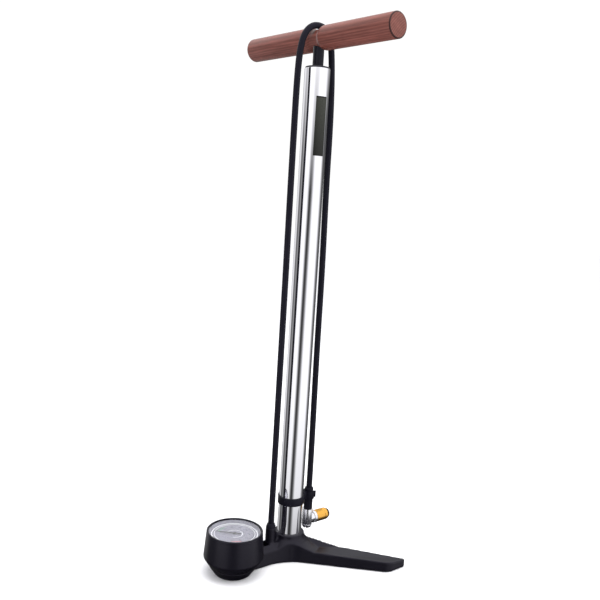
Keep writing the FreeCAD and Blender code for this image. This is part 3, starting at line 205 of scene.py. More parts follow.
class Recipe:
    """Lays out one material's nodes."""

    def __init__(self, name: str) -> None:
        """Starts a material with an empty Principled BSDF."""
        self.material = bpy.data.materials.new(name)
        self.material.use_nodes = True
        self.tree = self.material.node_tree
        self.shader = self.tree.nodes["Principled BSDF"]

    def node(self, kind: str, **settings: object) -> bpy.types.Node:
        """Adds a node and sets its properties."""
        made = self.tree.nodes.new(kind)
        for name, value in settings.items():
            setattr(made, name, value)
        return made

    def effect(self, tree: bpy.types.NodeTree, **values: object) -> bpy.types.Node:
        """Places a shared group with this material's own values."""
        made = self.node("ShaderNodeGroup", node_tree=tree)
        for name, value in values.items():
            made.inputs[name].default_value = (*value, 1.0) if isinstance(value, tuple) else value
        return made

    def link(self, start: bpy.types.NodeSocket, end: bpy.types.NodeSocket) -> None:
        """Joins two sockets."""
        self.tree.links.new(start, end)

    def set(self, **values: object) -> None:
        """Sets the shader's own sockets; an underscore stands for a space."""
        for name, value in values.items():
            socket = self.shader.inputs[name.replace("_", " ")]
            socket.default_value = (*value, 1.0) if isinstance(value, tuple) else value

    def bump(self, height: bpy.types.NodeSocket, depth: float, strength: float = 1.0) -> None:
        """Feeds a height to the shader's Normal through a Bump node.

        Args:
            height: The socket that gives the height.
            depth: The relief's depth in metres.
            strength: How much of it shows.
        """
        made = self.node("ShaderNodeBump")
        made.inputs["Strength"].default_value = strength
        made.inputs["Distance"].default_value = depth
        self.link(height, made.inputs["Height"])
        self.link(made.outputs["Normal"], self.shader.inputs["Normal"])

    def place(self, turn: float = 0.0) -> bpy.types.NodeSocket:
        """Object coordinates, turned about Z by an angle in degrees."""
        where = self.node("ShaderNodeTexCoord")
        mapping = self.node("ShaderNodeMapping")
        mapping.inputs["Rotation"].default_value = (0.0, 0.0, math.radians(turn))
        self.link(where.outputs["Object"], mapping.inputs["Vector"])
        return mapping.outputs["Vector"]

    def stretched(self, scale: tuple[float, float, float], shift: Sequence[float] = (0, 0, 0),
                  turn: float = 0.0) -> bpy.types.NodeSocket:
        """Object coordinates, turned and then drawn out by a scale for each direction."""
        mapping = self.node("ShaderNodeMapping")
        mapping.inputs["Scale"].default_value = scale
        mapping.inputs["Location"].default_value = shift
        self.link(self.place(turn), mapping.inputs["Vector"])
        return mapping.outputs["Vector"]

    def noise(self, vector: bpy.types.NodeSocket, detail: float,
              roughness: float = 0.5) -> bpy.types.NodeSocket:
        """A noise that follows a vector as it is.

        Args:
            vector: Where the noise is read.
            detail: How many finer layers it has.
            roughness: How strong the finer layers are.

        Returns:
            The noise's value.
        """
        made = self.node("ShaderNodeTexNoise")
        made.inputs["Scale"].default_value = 1.0
        made.inputs["Detail"].default_value = detail
        made.inputs["Roughness"].default_value = roughness
        self.link(vector, made.inputs["Vector"])
        return made.outputs["Fac"]

    def spread(self, value: bpy.types.NodeSocket, start: tuple[float, float],
               end: tuple[float, float] = (0.0, 1.0)) -> bpy.types.NodeSocket:
        """Maps one range of values to another.

        Args:
            value: The value to map.
            start: The range that it comes in.
            end: The range that it goes out in.

        Returns:
            The mapped value.
        """
        made = self.node("ShaderNodeMapRange")
        for label, number in zip(("From Min", "From Max", "To Min", "To Max"), (*start, *end)):
            made.inputs[label].default_value = number
        self.link(value, made.inputs["Value"])
        return made.outputs["Result"]

    def blended(self, share: bpy.types.NodeSocket, low: bpy.types.NodeSocket,
                high: Colour) -> bpy.types.NodeSocket:
        """Lays a colour over another by a share."""
        made = self.node("ShaderNodeMix", data_type="RGBA")
        made.inputs[7].default_value = (*high, 1.0)
        self.link(share, made.inputs[0])
        self.link(low, made.inputs[6])
        return made.outputs[2]

    def between(self, low: bpy.types.NodeSocket, high: bpy.types.NodeSocket,
                share: float) -> bpy.types.NodeSocket:
        """Mixes two values by a fixed share."""
        made = self.node("ShaderNodeMix")
        made.inputs[0].default_value = share
        self.link(low, made.inputs[2])
        self.link(high, made.inputs[3])
        return made.outputs[0]

    def product(self, one: bpy.types.NodeSocket,
                other: bpy.types.NodeSocket) -> bpy.types.NodeSocket:
        """Multiplies two values."""
        made = self.node("ShaderNodeMath", operation="MULTIPLY")
        self.link(one, made.inputs[0])
        self.link(other, made.inputs[1])
        return made.outputs[0]

    def ramp(self, value: bpy.types.NodeSocket,
             stops: Sequence[tuple[float, Colour]]) -> bpy.types.NodeSocket:
        """Turns a value into a colour by a ramp; the first and last stop are its ends."""
        made = self.node("ShaderNodeValToRGB")
        elements = made.color_ramp.elements
        for element, (position, colour) in zip(elements, (stops[0], stops[-1])):
            element.position, element.color = position, (*colour, 1.0)
        for position, colour in stops[1:-1]:
            elements.new(position).color = (*colour, 1.0)
        self.link(value, made.inputs["Fac"])
        return made.outputs["Color"]


# ---------------------------------------------------------------- finishes
@dataclass(frozen=True)
class Finish:
    """A surface finish. Its material is made the first time that it is asked for."""

    name: str

    def material(self) -> bpy.types.Material:
        """The finish's material."""
        return bpy.data.materials.get(self.name) or self.mixed()

    def mixed(self) -> bpy.types.Material:
        """Builds the material; each kind of finish has its own way."""
        raise NotImplementedError


@dataclass(frozen=True)
class Moulded(Finish):
    """Plastic, rubber or paint: a mottled colour with a pebbled skin."""

    colour: Colour
    patch: Colour
    smooth: float
    rough: float
    grain: float
    depth: float
    worn: Colour | None = None
    coat: float = 0.0
    specular: float = 0.5
    sheen: Colour = (0.88, 0.85, 1.0)

    def mixed(self) -> bpy.types.Material:
        """Builds the material from the mottle, grain and edge effects; the edge colour is partly wear
        and partly a painted highlight.
        """
        recipe = Recipe(self.name)
        recipe.set(Specular_IOR_Level=self.specular, Specular_Tint=self.sheen,
                   Coat_Weight=self.coat, Coat_Roughness=0.2)
        colour = recipe.effect(
            Effect.mottle(), Base=self.colour, Patch=self.patch, Scale=35.0, Amount=0.8)
        colour_out = colour.outputs["Color"]
        # Painted highlight and wear: a lighter colour along the outer edges.
        if self.worn:
            edge = recipe.effect(Effect.worn_edge(), Worn=self.worn)
            recipe.link(colour_out, edge.inputs["Color"])
            colour_out = edge.outputs["Color"]
        recipe.link(colour_out, recipe.shader.inputs["Base Color"])
        skin = recipe.effect(Effect.grain(), Scale=self.grain, Smooth=self.smooth, Rough=self.rough)
        recipe.link(skin.outputs["Roughness"], recipe.shader.inputs["Roughness"])
        recipe.bump(skin.outputs["Height"], self.depth, 0.6)
        return recipe.material


@dataclass(frozen=True)
class Metal(Finish):
    """Plated, polished or anodised metal with faint lines along one direction."""

    colour: Colour
    tint: Colour
    smooth: float
    rough: float
    lines: tuple[float, float, float] = (400.0, 400.0, 12.0)
    depth: float = 0.0

    def mixed(self) -> bpy.types.Material:
        """Builds the material from a mottled colour and drawn-out noise."""
        recipe = Recipe(self.name)
        recipe.set(Metallic=1.0)
        colour = recipe.effect(
            Effect.mottle(), Base=self.colour, Patch=self.tint, Scale=25.0, Amount=0.6)
        recipe.link(colour.outputs["Color"], recipe.shader.inputs["Base Color"])
        lines = recipe.noise(recipe.stretched(self.lines), 4.0)
        gloss = recipe.spread(lines, (0.3, 0.7), (self.smooth, self.rough))
        recipe.link(gloss, recipe.shader.inputs["Roughness"])
        if self.depth:
            recipe.bump(lines, self.depth, 0.3)
        return recipe.material


@dataclass(frozen=True)
class Wood(Finish):
    """Oiled reddish wood: rings, long fibres and short pores that run along the handle."""

    dark: Colour
    middle: Colour
    light: Colour
    edge: Colour
    axis: float
    end: float
    rim: float
    turn: float

    def mixed(self) -> bpy.types.Material:
        """Builds the material from growth rings, fibres, pores and a darker rim at each end."""
        recipe = Recipe(self.name)
        recipe.set(Coat_Weight=0.08, Coat_Roughness=0.32, Specular_IOR_Level=0.34)
        rings = recipe.node("ShaderNodeTexWave", wave_type="RINGS", rings_direction="X")
        for label, value in (("Scale", 121.0), ("Distortion", 2.5), ("Detail", 4.0),
                             ("Detail Scale", 0.8), ("Detail Roughness", 0.65)):
            rings.inputs[label].default_value = value
        growth = recipe.stretched((0.1, 1.0, 1.0), (0.0, -0.04, 0.04 - self.axis), self.turn)
        recipe.link(growth, rings.inputs["Vector"])
        fibres = recipe.noise(recipe.stretched((22.0, 900.0, 900.0), turn=self.turn), 6.0, 0.6)
        bands = recipe.noise(recipe.stretched((9.0, 150.0, 150.0), turn=self.turn), 4.0, 0.6)
        figure = recipe.between(recipe.between(rings.outputs["Fac"], bands, 0.78), fibres, 0.4)
        colour = recipe.ramp(figure, ((0.36, self.dark), (0.5, self.middle), (0.64, self.light)))
        pores = recipe.noise(recipe.stretched((60.0, 2200.0, 2200.0), turn=self.turn), 1.0)
        colour = recipe.blended(recipe.spread(pores, (0.55, 0.68), (0.0, 0.4)), colour, self.edge)
        across = recipe.node("ShaderNodeVectorMath", operation="LENGTH")
        spoke = recipe.stretched((0.0, 1.0, 1.0), (0.0, 0.0, -self.axis), self.turn)
        recipe.link(spoke, across.inputs[0])
        parts = recipe.node("ShaderNodeSeparateXYZ")
        recipe.link(recipe.place(self.turn), parts.inputs["Vector"])
        reach = recipe.node("ShaderNodeMath", operation="ABSOLUTE")
        recipe.link(parts.outputs["X"], reach.inputs[0])
        face = recipe.spread(reach.outputs[0], (self.end - 0.0002, self.end - 0.0001))
        lines = recipe.spread(rings.outputs["Fac"], (0.25, 0.6), (0.5, 0.0))
        colour = recipe.blended(recipe.product(lines, face), colour, self.dark)
        tip = recipe.spread(reach.outputs[0], (self.end - 0.0013, self.end - 0.0010))
        outer = recipe.spread(across.outputs["Value"], (self.rim - 0.0004, self.rim), (0.0, 0.92))
        colour = recipe.blended(recipe.product(outer, tip), colour, self.edge)
        recipe.link(colour, recipe.shader.inputs["Base Color"])
        gloss = recipe.spread(fibres, (0.3, 0.7), (0.34, 0.5))
        recipe.link(gloss, recipe.shader.inputs["Roughness"])
        recipe.bump(recipe.between(fibres, pores, 0.4), 0.0001, 0.5)
        return recipe.material


@dataclass(frozen=True)
class Glass(Finish):
    """Clear moulded glass."""

    tint: Colour

    def mixed(self) -> bpy.types.Material:
        """Builds a plain transmissive material with faint smears in its gloss."""
        recipe = Recipe(self.name)
        recipe.set(Base_Color=self.tint, Transmission_Weight=1.0, IOR=1.46)
        skin = recipe.effect(Effect.grain(), Scale=300.0, Smooth=0.0, Rough=0.05)
        recipe.link(skin.outputs["Roughness"], recipe.shader.inputs["Roughness"])
        return recipe.material


@dataclass(frozen=True)
class Film(Finish):
    """A blank printed film: a charcoal panel, lighter to one end, with thin darker borders."""

    low_colour: Colour
    high_colour: Colour
    border: Colour
    low: float
    high: float

    def mixed(self) -> bpy.types.Material:
        """Builds the material from its height on the tube."""
        recipe = Recipe(self.name)
        recipe.set(Coat_Weight=0.05, Coat_Roughness=0.25, Specular_IOR_Level=0.3)
        parts = recipe.node("ShaderNodeSeparateXYZ")
        recipe.link(recipe.place(), parts.inputs["Vector"])
        share = recipe.spread(parts.outputs["Z"], (self.low, self.high))
        colour = recipe.ramp(share, (
            (0.0, self.border), (0.02, self.border), (0.025, self.low_colour),
            (0.975, self.high_colour), (0.98, self.border), (1.0, self.border)))
        recipe.link(colour, recipe.shader.inputs["Base Color"])
        skin = recipe.effect(Effect.grain(), Scale=1500.0, Smooth=0.35, Rough=0.5)
        recipe.link(skin.outputs["Roughness"], recipe.shader.inputs["Roughness"])
        recipe.bump(skin.outputs["Height"], 0.00001, 0.3)
        return recipe.material


# The stand's lighter edge colour is partly wear and partly a painted highlight along its edges.
STAND_BLACK = Moulded("stand_black_satin", (0.0036, 0.0031, 0.0062), (0.0048, 0.0042, 0.0078),
                      0.3, 0.4, 1600.0, 0.00004, worn=(0.022, 0.02, 0.028), specular=0.32)
GAUGE_BLACK = Moulded("gauge_black_plastic", (0.0036, 0.0031, 0.0062), (0.0048, 0.0042, 0.0078),
                      0.26, 0.36, 1900.0, 0.00002, specular=0.32)
PAD_RUBBER = Moulded("pad_rubber_grey", (0.022, 0.022, 0.023), (0.03, 0.03, 0.03),
                     0.7, 0.85, 1200.0, 0.00006)
HOSE_RUBBER = Moulded("hose_rubber_black", (0.0055, 0.0052, 0.009), (0.0078, 0.0074, 0.0125),
                      0.3, 0.42, 1500.0, 0.00004, specular=0.12)
SEAL_RUBBER = Moulded("seal_rubber_black", (0.015, 0.015, 0.016), (0.02, 0.02, 0.021),
                      0.5, 0.65, 1400.0, 0.00004)
CLIP_BLACK = Moulded("clip_black_plastic", (0.0055, 0.0052, 0.009), (0.0078, 0.0074, 0.012),
                     0.38, 0.5, 1700.0, 0.00003, specular=0.1)
CAP_BLACK = Moulded("cap_black_plastic", (0.009, 0.009, 0.011), (0.012, 0.012, 0.015),
                    0.3, 0.4, 1700.0, 0.00002)
BUSHING_PLASTIC = Moulded("bushing_white_plastic", (0.62, 0.6, 0.55), (0.55, 0.53, 0.48),
                          0.4, 0.5, 900.0, 0.00003)
ROD_BLACK = Moulded("rod_black_anodised", (0.0045, 0.0044, 0.0075), (0.006, 0.0058, 0.0095),
                    0.16, 0.26, 2200.0, 0.00001, coat=0.05, specular=0.15)
CHROME = Metal("barrel_polished_chrome", (0.9, 0.895, 0.94), (0.86, 0.855, 0.91), 0.02, 0.06,
               (300.0, 300.0, 3.0))
HEAD_CHROME = Metal("head_satin_chrome", (0.86, 0.86, 0.9), (0.78, 0.78, 0.83), 0.18, 0.3,
                    (500.0, 500.0, 500.0), 0.00001)
STEEL = Metal("turned_steel", (0.6, 0.6, 0.62), (0.5, 0.5, 0.52), 0.2, 0.35,
              (300.0, 300.0, 900.0), 0.00001)
BRASS = Metal("turned_brass", (0.72, 0.5, 0.2), (0.62, 0.42, 0.16), 0.2, 0.35,
              (300.0, 300.0, 900.0), 0.00001)
GOLD = Metal("sleeve_gold_anodised", (0.86, 0.47, 0.1), (0.8, 0.42, 0.08), 0.2, 0.3,
             (700.0, 90.0, 700.0), 0.00001)
WOOD = Wood("handle_red_wood", (0.098, 0.027, 0.019), (0.155, 0.046, 0.034),
            (0.215, 0.069, 0.053), (0.022, 0.006, 0.006), 0.6651, 0.127, 0.0133, -2.4)
CLEAR = Glass("gauge_clear_glass", (0.97, 0.98, 0.98))
LABEL = Film("label_blank_film", (0.005, 0.0055, 0.0042), (0.026, 0.028, 0.021), (0.003, 0.003, 0.002),
             0.525, 0.596)
DIAL_GREY = Moulded("dial_grey_paint", (0.17, 0.165, 0.215), (0.15, 0.145, 0.19),
                    0.4, 0.5, 1200.0, 0.00001)
INK_DARK = Moulded("dial_ink_dark", (0.02, 0.02, 0.024), (0.025, 0.025, 0.03),
                   0.5, 0.6, 900.0, 0.00001)
INK_WHITE = Moulded("dial_ink_white", (0.8, 0.8, 0.82), (0.74, 0.74, 0.76),
                    0.5, 0.6, 900.0, 0.00001)
INK_GREEN = Moulded("dial_ink_green", (0.06, 0.32, 0.1), (0.05, 0.27, 0.08),
                    0.5, 0.6, 900.0, 0.00001)
INK_RED = Moulded("dial_ink_red", (0.55, 0.03, 0.025), (0.48, 0.025, 0.02),
                  0.4, 0.5, 900.0, 0.00001)


# ---------------------------------------------------------------- mesh work
class Bench:
    """The tools that shape pieces and put them on their bodies. Sizes are in millimetres."""

    @staticmethod
    def turned(corners: Outline, centre: Sequence[float] = (0, 0, 0), axis: Axis = Axis.UP,
               steps: int = 96, segments: int = 3) -> bmesh.types.BMesh:
        """Spins an outline about its axis and softens its corners.

        Args:
            corners: Radius, height and softness of each corner, in millimetres.
            centre: Where the axis's zero height lies, in millimetres.
            axis: Which way the axis points.
            steps: Faces round the piece.
            segments: Faces across each softened corner.

        Returns:
            The closed shape.
        """
        bm = bmesh.new()
        ring = [bm.verts.new((r * MM, 0.0, h * MM)) for r, h, _ in corners]
        edges = [bm.edges.new(pair) for pair in zip(ring, ring[1:])]
        if corners[0][0] > 0 or corners[-1][0] > 0:
            edges.append(bm.edges.new((ring[-1], ring[0])))
        bmesh.ops.spin(bm, geom=ring + edges, cent=(0, 0, 0), axis=(0, 0, 1), angle=math.tau,
                       steps=steps, use_merge=True, use_duplicate=False)
        bmesh.ops.remove_doubles(bm, verts=bm.verts, dist=1e-7)
        bmesh.ops.recalc_face_normals(bm, faces=bm.faces)
        for radius, height, soft in corners:
            if soft:
                rim = [e for e in bm.edges if all(
                    abs(math.hypot(v.co.x, v.co.y) - radius * MM) < 1e-6
                    and abs(v.co.z - height * MM) < 1e-6 for v in e.verts)]
                bmesh.ops.bevel(bm, geom=rim, offset=soft * MM, offset_type="OFFSET",
                                affect="EDGES", segments=segments, profile=0.5, material=-1,
                                clamp_overlap=True)
        place = Matrix.Translation(Vector(centre) * MM) @ axis.value
        bmesh.ops.transform(bm, matrix=place, verts=bm.verts)
        return bm

    @staticmethod
    def softened(node: str, soft: float, angle: float = 32.0) -> bmesh.types.BMesh:
        """Copies a node's shape, joins its loose triangles and rounds its sharp edges.

        Args:
            node: The node to copy.
            soft: The rounding in millimetres.
            angle: The fold, in degrees, past which an edge counts as sharp.

        Returns:
            The rounded copy.
        """
        bm = bmesh.new()
        bm.from_mesh(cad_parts[node].data)
        bmesh.ops.remove_doubles(bm, verts=bm.verts, dist=3e-6)
        bmesh.ops.dissolve_limit(bm, angle_limit=math.radians(1.0), verts=bm.verts,
                                 edges=bm.edges, delimit={"NORMAL"})
        sharp = [e for e in bm.edges
                 if e.is_manifold and e.calc_face_angle() > math.radians(angle)]
        bmesh.ops.bevel(bm, geom=sharp, offset=soft * MM, offset_type="OFFSET", affect="EDGES",
                        segments=2, profile=0.5, material=-1, clamp_overlap=True)
        return bm

    @staticmethod
    def slab(corners: Sequence[Sequence[float]], along: Sequence[float]) -> bmesh.types.BMesh:
        """Extrudes a flat outline.

        Args:
            corners: The outline's corners in millimetres, all in one plane.
            along: How far and which way it is drawn out, in millimetres.

        Returns:
            The closed prism.
        """
        bm = bmesh.new()
        face = bm.faces.new([bm.verts.new(Vector(c) * MM) for c in corners])
        grown = bmesh.ops.extrude_face_region(bm, geom=[face], use_keep_orig=True)
        moved = [g for g in grown["geom"] if isinstance(g, bmesh.types.BMVert)]
        bmesh.ops.translate(bm, verts=moved, vec=Vector(along) * MM)
        bmesh.ops.recalc_face_normals(bm, faces=bm.faces)
        return bm

    @staticmethod
    def joined(parts: Iterable[bmesh.types.BMesh]) -> bmesh.types.BMesh:
        """Puts several shapes into one mesh."""
        whole = bmesh.new()
        for part in parts:
            mesh = bpy.data.meshes.new("part")
            part.to_mesh(mesh)
            part.free()
            whole.from_mesh(mesh)
            bpy.data.meshes.remove(mesh)
        return whole

    @classmethod
    def worked(cls, shape: bmesh.types.BMesh,
               tools: Sequence[tuple[bmesh.types.BMesh, Keep]] = (),
               set_up: Callable[[bpy.types.Object], None] | None = None) -> bmesh.types.BMesh:
        """Runs modifiers on a shape and gives back what they make of it.

        Args:
            shape: The shape to work on.
            tools: Shapes to carve it with, and what each carving keeps.
            set_up: Adds any other modifiers to the shape's object.

        Returns:
            The worked shape.
        """
        helpers = [cls._loose(shape)]
        for tool, keep in tools:
            helpers.append(cls._loose(tool))
            carve = helpers[0].modifiers.new("carve", "BOOLEAN")
            carve.operation, carve.solver, carve.object = keep.value, "EXACT", helpers[-1]
        if set_up:
            set_up(helpers[0])
        graph = bpy.context.evaluated_depsgraph_get()
        mesh = bpy.data.meshes.new_from_object(helpers[0].evaluated_get(graph))
        made = bmesh.new()
        made.from_mesh(mesh)
        bpy.data.meshes.remove(mesh)
        for helper in helpers:
            spent = helper.data
            bpy.data.objects.remove(helper)
            bpy.data.meshes.remove(spent)
        return made

    @staticmethod
    def _loose(shape: bmesh.types.BMesh) -> bpy.types.Object:
        """A passing object that holds a shape."""
        mesh = bpy.data.meshes.new("helper")
        shape.to_mesh(mesh)
        shape.free()
        helper = bpy.data.objects.new("helper", mesh)
        bpy.context.scene.collection.objects.link(helper)
        return helper

    @staticmethod
    def piece(name: str, shape: bmesh.types.BMesh, finish: Finish, body: str,
              slot: str | None = None, stands_for: Sequence[str] = (),
              sharp: float = 38.0) -> bpy.types.Object:
        """Makes a finished piece and puts it on its body.

        Args:
            name: The piece's name.
            shape: Its shape, in place.
            finish: Its finish.
            body: The body that it moves with.
            slot: The record's material slot that it belongs to; not used.
            stands_for: The nodes that it replaces.
            sharp: The fold, in degrees, past which an edge is shaded sharp.

        Returns:
            The new object.
        """
        mesh = bpy.data.meshes.new(name)
        shape.to_mesh(mesh)
        shape.free()
        for spare in ("custom_normal", "sharp_face"):
            if spare in mesh.attributes:
                mesh.attributes.remove(mesh.attributes[spare])
        mesh.materials.clear()
        mesh.materials.append(finish.material())
        mesh.shade_smooth()
        mesh.set_sharp_from_angle(angle=math.radians(sharp))
        made = bpy.data.objects.new(name, mesh)
        bpy.context.scene.collection.objects.link(made)
        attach(made, body)
        if stands_for:
            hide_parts(*stands_for)
        log.info("%s: %d faces on %s", name, len(mesh.polygons), body)
        return made

    @staticmethod
    def dress(finish: Finish, *nodes: str) -> None:
        """Gives nodes that keep their own shape a finish."""
        for node in nodes:
            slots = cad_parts[node].material_slots
            for slot in slots:
                slot.material = finish.material()
            log.info("%s: %s", node, finish.name)


# ---------------------------------------------------------------- sub-assemblies
@dataclass
class Stand:
    """The cast stand: hub, two legs, the arm to the gauge, the hose port and the pads."""

    foot_gap: float = 0.8
    hub_radius: float = 24.0
    hub_shoulder: float = 20.0
    collar_radius: float = 20.0
    collar_shoulder: float = 31.5
    collar_top: float = 34.1
    arm_half: float = 13.2
    arm_section: tuple[tuple[float, float], ...] = (
        (30.0, -5.0), (30.0, 16.8), (13.2, 19.8), (7.0, 26.0), (5.6, 26.0), (5.6, 18.0),
    )
    gauge_back: float = 87.8
    port_back: float = 31.0
    port_radius: float = 6.6
    port_top: float = 46.0
    leg_tip: float = 110.5
    gusset: float = 22.0
    skirt_height: float = 40.0
    cup_foot: float = 23.3
    cup_radius: float = 31.2
    seam: float = 12.2
    web_width: float = 6.0
    pad_top: float = 2.4
    hub_pad: float = 17.05
    leg_pad: float = 8.55
    leg_pad_at: tuple[float, float] = (97.5, 84.7)
    gauge_pad: tuple[float, float] = (18.35, 20.55)
    spring_room: tuple[float, float, float] = (3.4, 4.4, 11.4)
    seat_room: tuple[float, float, float] = (6.55, 11.4, 15.0)
    barrel_socket: tuple[float, float, float] = (16.05, 15.0, 36.0)
    nipple_bore: tuple[float, float, float] = (3.25, 22.0, 48.0)
    shell_foot: float = 30.95
    shell_radius: float = 38.05
    shell_shoulder: float = 22.7
    shell_top: float = 53.6
    screw_circle: float = 14.0
    screw_count: int = 3
    screw_head: float = 2.95
    screw_head_top: float = 4.2
    screw_hole: float = 1.45
    passage: float = 8.4
    passage_radius: float = 1.4
    passage_end: float = 3.1
    port_riser: float = 1.1
    gauge_riser: float = 2.65
    gauge_riser_back: float = 68.8
    overcut: float = 0.5
    voxel: float = 0.9
    legs: tuple[tuple[float, float, float, float, float], ...] = (
        (0.0, -29.0, 17.4, 9.4, 29.6),
        (48.0, 18.43, 16.3, 55.01, 16.0),
        (110.5, 80.2, 13.8, 114.4, 10.4),
    )

    def skirt(self) -> bmesh.types.BMesh:
        """The plan of arm and legs drawn up well past their tops, its corners rounded."""
        _, front_root, _, rear_root, _ = self.legs[0]
        _, front_tip, _, rear_tip, _ = self.legs[-1]
        elbow = front_root + (front_tip - front_root) * self.arm_half / self.leg_tip
        side = [(self.arm_half, -self.gauge_back), (self.arm_half, elbow),
                (self.leg_tip, front_tip), (self.leg_tip, rear_tip)]
        plan = side + [(0.0, rear_root)] + [(-x, y) for x, y in reversed(side)]
        bm = Bench.slab([(x, y, self.foot_gap) for x, y in plan], (0, 0, self.skirt_height))
        rounds = ((self.arm_half, elbow, self.gusset, 14), (self.leg_tip, front_tip, 7.0, 8),
                  (self.leg_tip, rear_tip, 8.1, 8))
        for x, y, offset, segments in rounds:
            upright = [e for e in bm.edges if all(
                abs(abs(v.co.x) - x * MM) < 1e-6 and abs(v.co.y - y * MM) < 1e-6
                for v in e.verts)]
            bmesh.ops.bevel(bm, geom=upright, offset=offset * MM, offset_type="OFFSET",
                            affect="EDGES", segments=segments, profile=0.5, material=-1)
        return bm

    def leg_cover(self) -> bmesh.types.BMesh:
        """A block whose upper side is the legs' sloping top, from one tip to the other."""
        stations = [(-x, *rest) for x, *rest in reversed(self.legs[1:])] + list(self.legs)
        bm = bmesh.new()

        def corners(station: tuple[float, ...]) -> list[Vector]:
            """The four corners of the block at one station."""
            x, front, front_height, rear, rear_height = station
            slope = (rear_height - front_height) / (rear - front)
            near, far = front - 3, rear + 3
            return [Vector((x, near, -5)) * MM, Vector((x, near, front_height - 3 * slope)) * MM,
                    Vector((x, far, rear_height + 3 * slope)) * MM, Vector((x, far, -5)) * MM]

        first = corners(stations[0])
        face = bm.faces.new([bm.verts.new(c) for c in first])
        for station in stations[1:]:
            grown = bmesh.ops.extrude_face_region(bm, geom=[face], use_keep_orig=True)
            face = next(g for g in grown["geom"] if isinstance(g, bmesh.types.BMFace))
            for vert, corner in zip(face.verts, corners(station)):
                vert.co = corner
        inner = [f for f in bm.faces if f.calc_area() and all(
            abs(f.normal.x) > 0.99 and abs(v.co.x) < self.leg_tip * MM - 1e-6 for v in f.verts)]
        bmesh.ops.delete(bm, geom=inner, context="FACES_ONLY")
        bmesh.ops.recalc_face_normals(bm, faces=bm.faces)
        return bm

    def arm_cover(self) -> bmesh.types.BMesh:
        """A block over the arm: two rails beside the port, and the corners out to the legs."""
        section = [*self.arm_section, *[(-x, z) for x, z in reversed(self.arm_section)]]
        return Bench.slab([(x, -self.gauge_back, z) for x, z in section],
                          (0, self.gauge_back + 12, 0))

    def fairing(self) -> bmesh.types.BMesh:
        """The slope that runs from the barrel's foot out to the sides of arm and legs."""
        cone = Bench.turned([(0, self.foot_gap, 0), (46.0, self.foot_gap, 0), (46.0, 14.0, 0),
                             (38.0, 17.8, 0), (31.0, 20.6, 0), (25.5, 24.2, 0), (21.5, 28.4, 0),
                             (18.5, 33.2, 0), (0, 33.2, 0)])
        return Bench.worked(cone, [(self.skirt(), Keep.COMMON)])

    def hollows(self) -> bmesh.types.BMesh:
        """The four pockets under the legs."""
        pockets = []
        for start, end in ((30.0, 54.5), (57.5, 82.0)):
            outline = []
            for x, side, inset in ((start, 1, 3.2), (end, 1, 3.2), (end, 3, -3.2),
                                   (start, 3, -3.2)):
                root, tip = self.legs[0][side], self.legs[-1][side]
                outline.append((x, root + (tip - root) * x / self.leg_tip + inset, -1))
            for flip in (1, -1):
                pockets.append(Bench.slab([(x * flip, y, z) for x, y, z in outline], (0, 0, 9)))
        return Bench.joined(pockets)

    def casting(self) -> bmesh.types.BMesh:
        """The whole casting, its parts run together and their joins rounded."""
        legs = Bench.worked(self.skirt(), [(self.leg_cover(), Keep.COMMON),
                                           (self.hollows(), Keep.REST)])
        arm = Bench.worked(self.skirt(), [(self.arm_cover(), Keep.COMMON)])
        low = self.foot_gap
        hub = Bench.turned([(0, low, 0), (self.hub_radius, low, 0),
                            (self.hub_radius, self.hub_shoulder, 0),
                            (self.collar_radius, self.collar_shoulder, 0),
                            (self.collar_radius, self.collar_top, 0), (0, self.collar_top, 0)])
        cup = Bench.turned([(0, low, 0), (self.cup_foot, low, 0),
                            (self.cup_radius, self.seam, 0), (0, self.seam, 0)],
                           (0, -self.gauge_back, 0))
        port = Bench.turned([(0, low, 0), (self.port_radius, low, 0),
                             (self.port_radius, self.port_top, 0), (0, self.port_top, 0)],
                            (0, -self.port_back, 0), steps=48)
        profile = [(-31, 5), (-31, 45), (-25.4, 44.2), (-23.6, 40.0), (-22.0, 37.4),
                   (-19.5, 36.2), (-14, 34.1), (-14, 5)]
        web = Bench.slab([(-self.web_width / 2, y, z) for y, z in profile],
                         (self.web_width, 0, 0))
        rough = Bench.joined([legs, arm, self.fairing(), hub, cup, port, web])

        def run_together(helper: bpy.types.Object) -> None:
            """Adds the remeshing and the smoothing that round the joins."""
            remesh = helper.modifiers.new("remesh", "REMESH")
            remesh.mode, remesh.voxel_size = "VOXEL", self.voxel * MM
            smooth = helper.modifiers.new("smooth", "SMOOTH")
            smooth.factor, smooth.iterations = 0.5, 6

        whole = Bench.worked(rough, set_up=run_together)
        return Bench.worked(whole, [(bore, Keep.REST) for bore in self.bores()])

    def bores(self) -> list[bmesh.types.BMesh]:
        """The rooms for barrel, valve, pads, gauge, screws and nipple, and the air passages."""
        back, stem = -self.gauge_back, -self.gauge_riser_back
        under, through = self.foot_gap - 1, self.seam + self.overcut
        inner, outer = self.gauge_pad

        def stack(*rooms: tuple[float, float, float]) -> list[tuple[float, float]]:
            """The outline of round rooms, each a radius, a floor and a top, one on the other."""
            outline = [(0, rooms[0][1])]
            for radius, low, high in rooms:
                outline += [(radius, low), (radius, high)]
            return [*outline, (0, rooms[-1][2])]

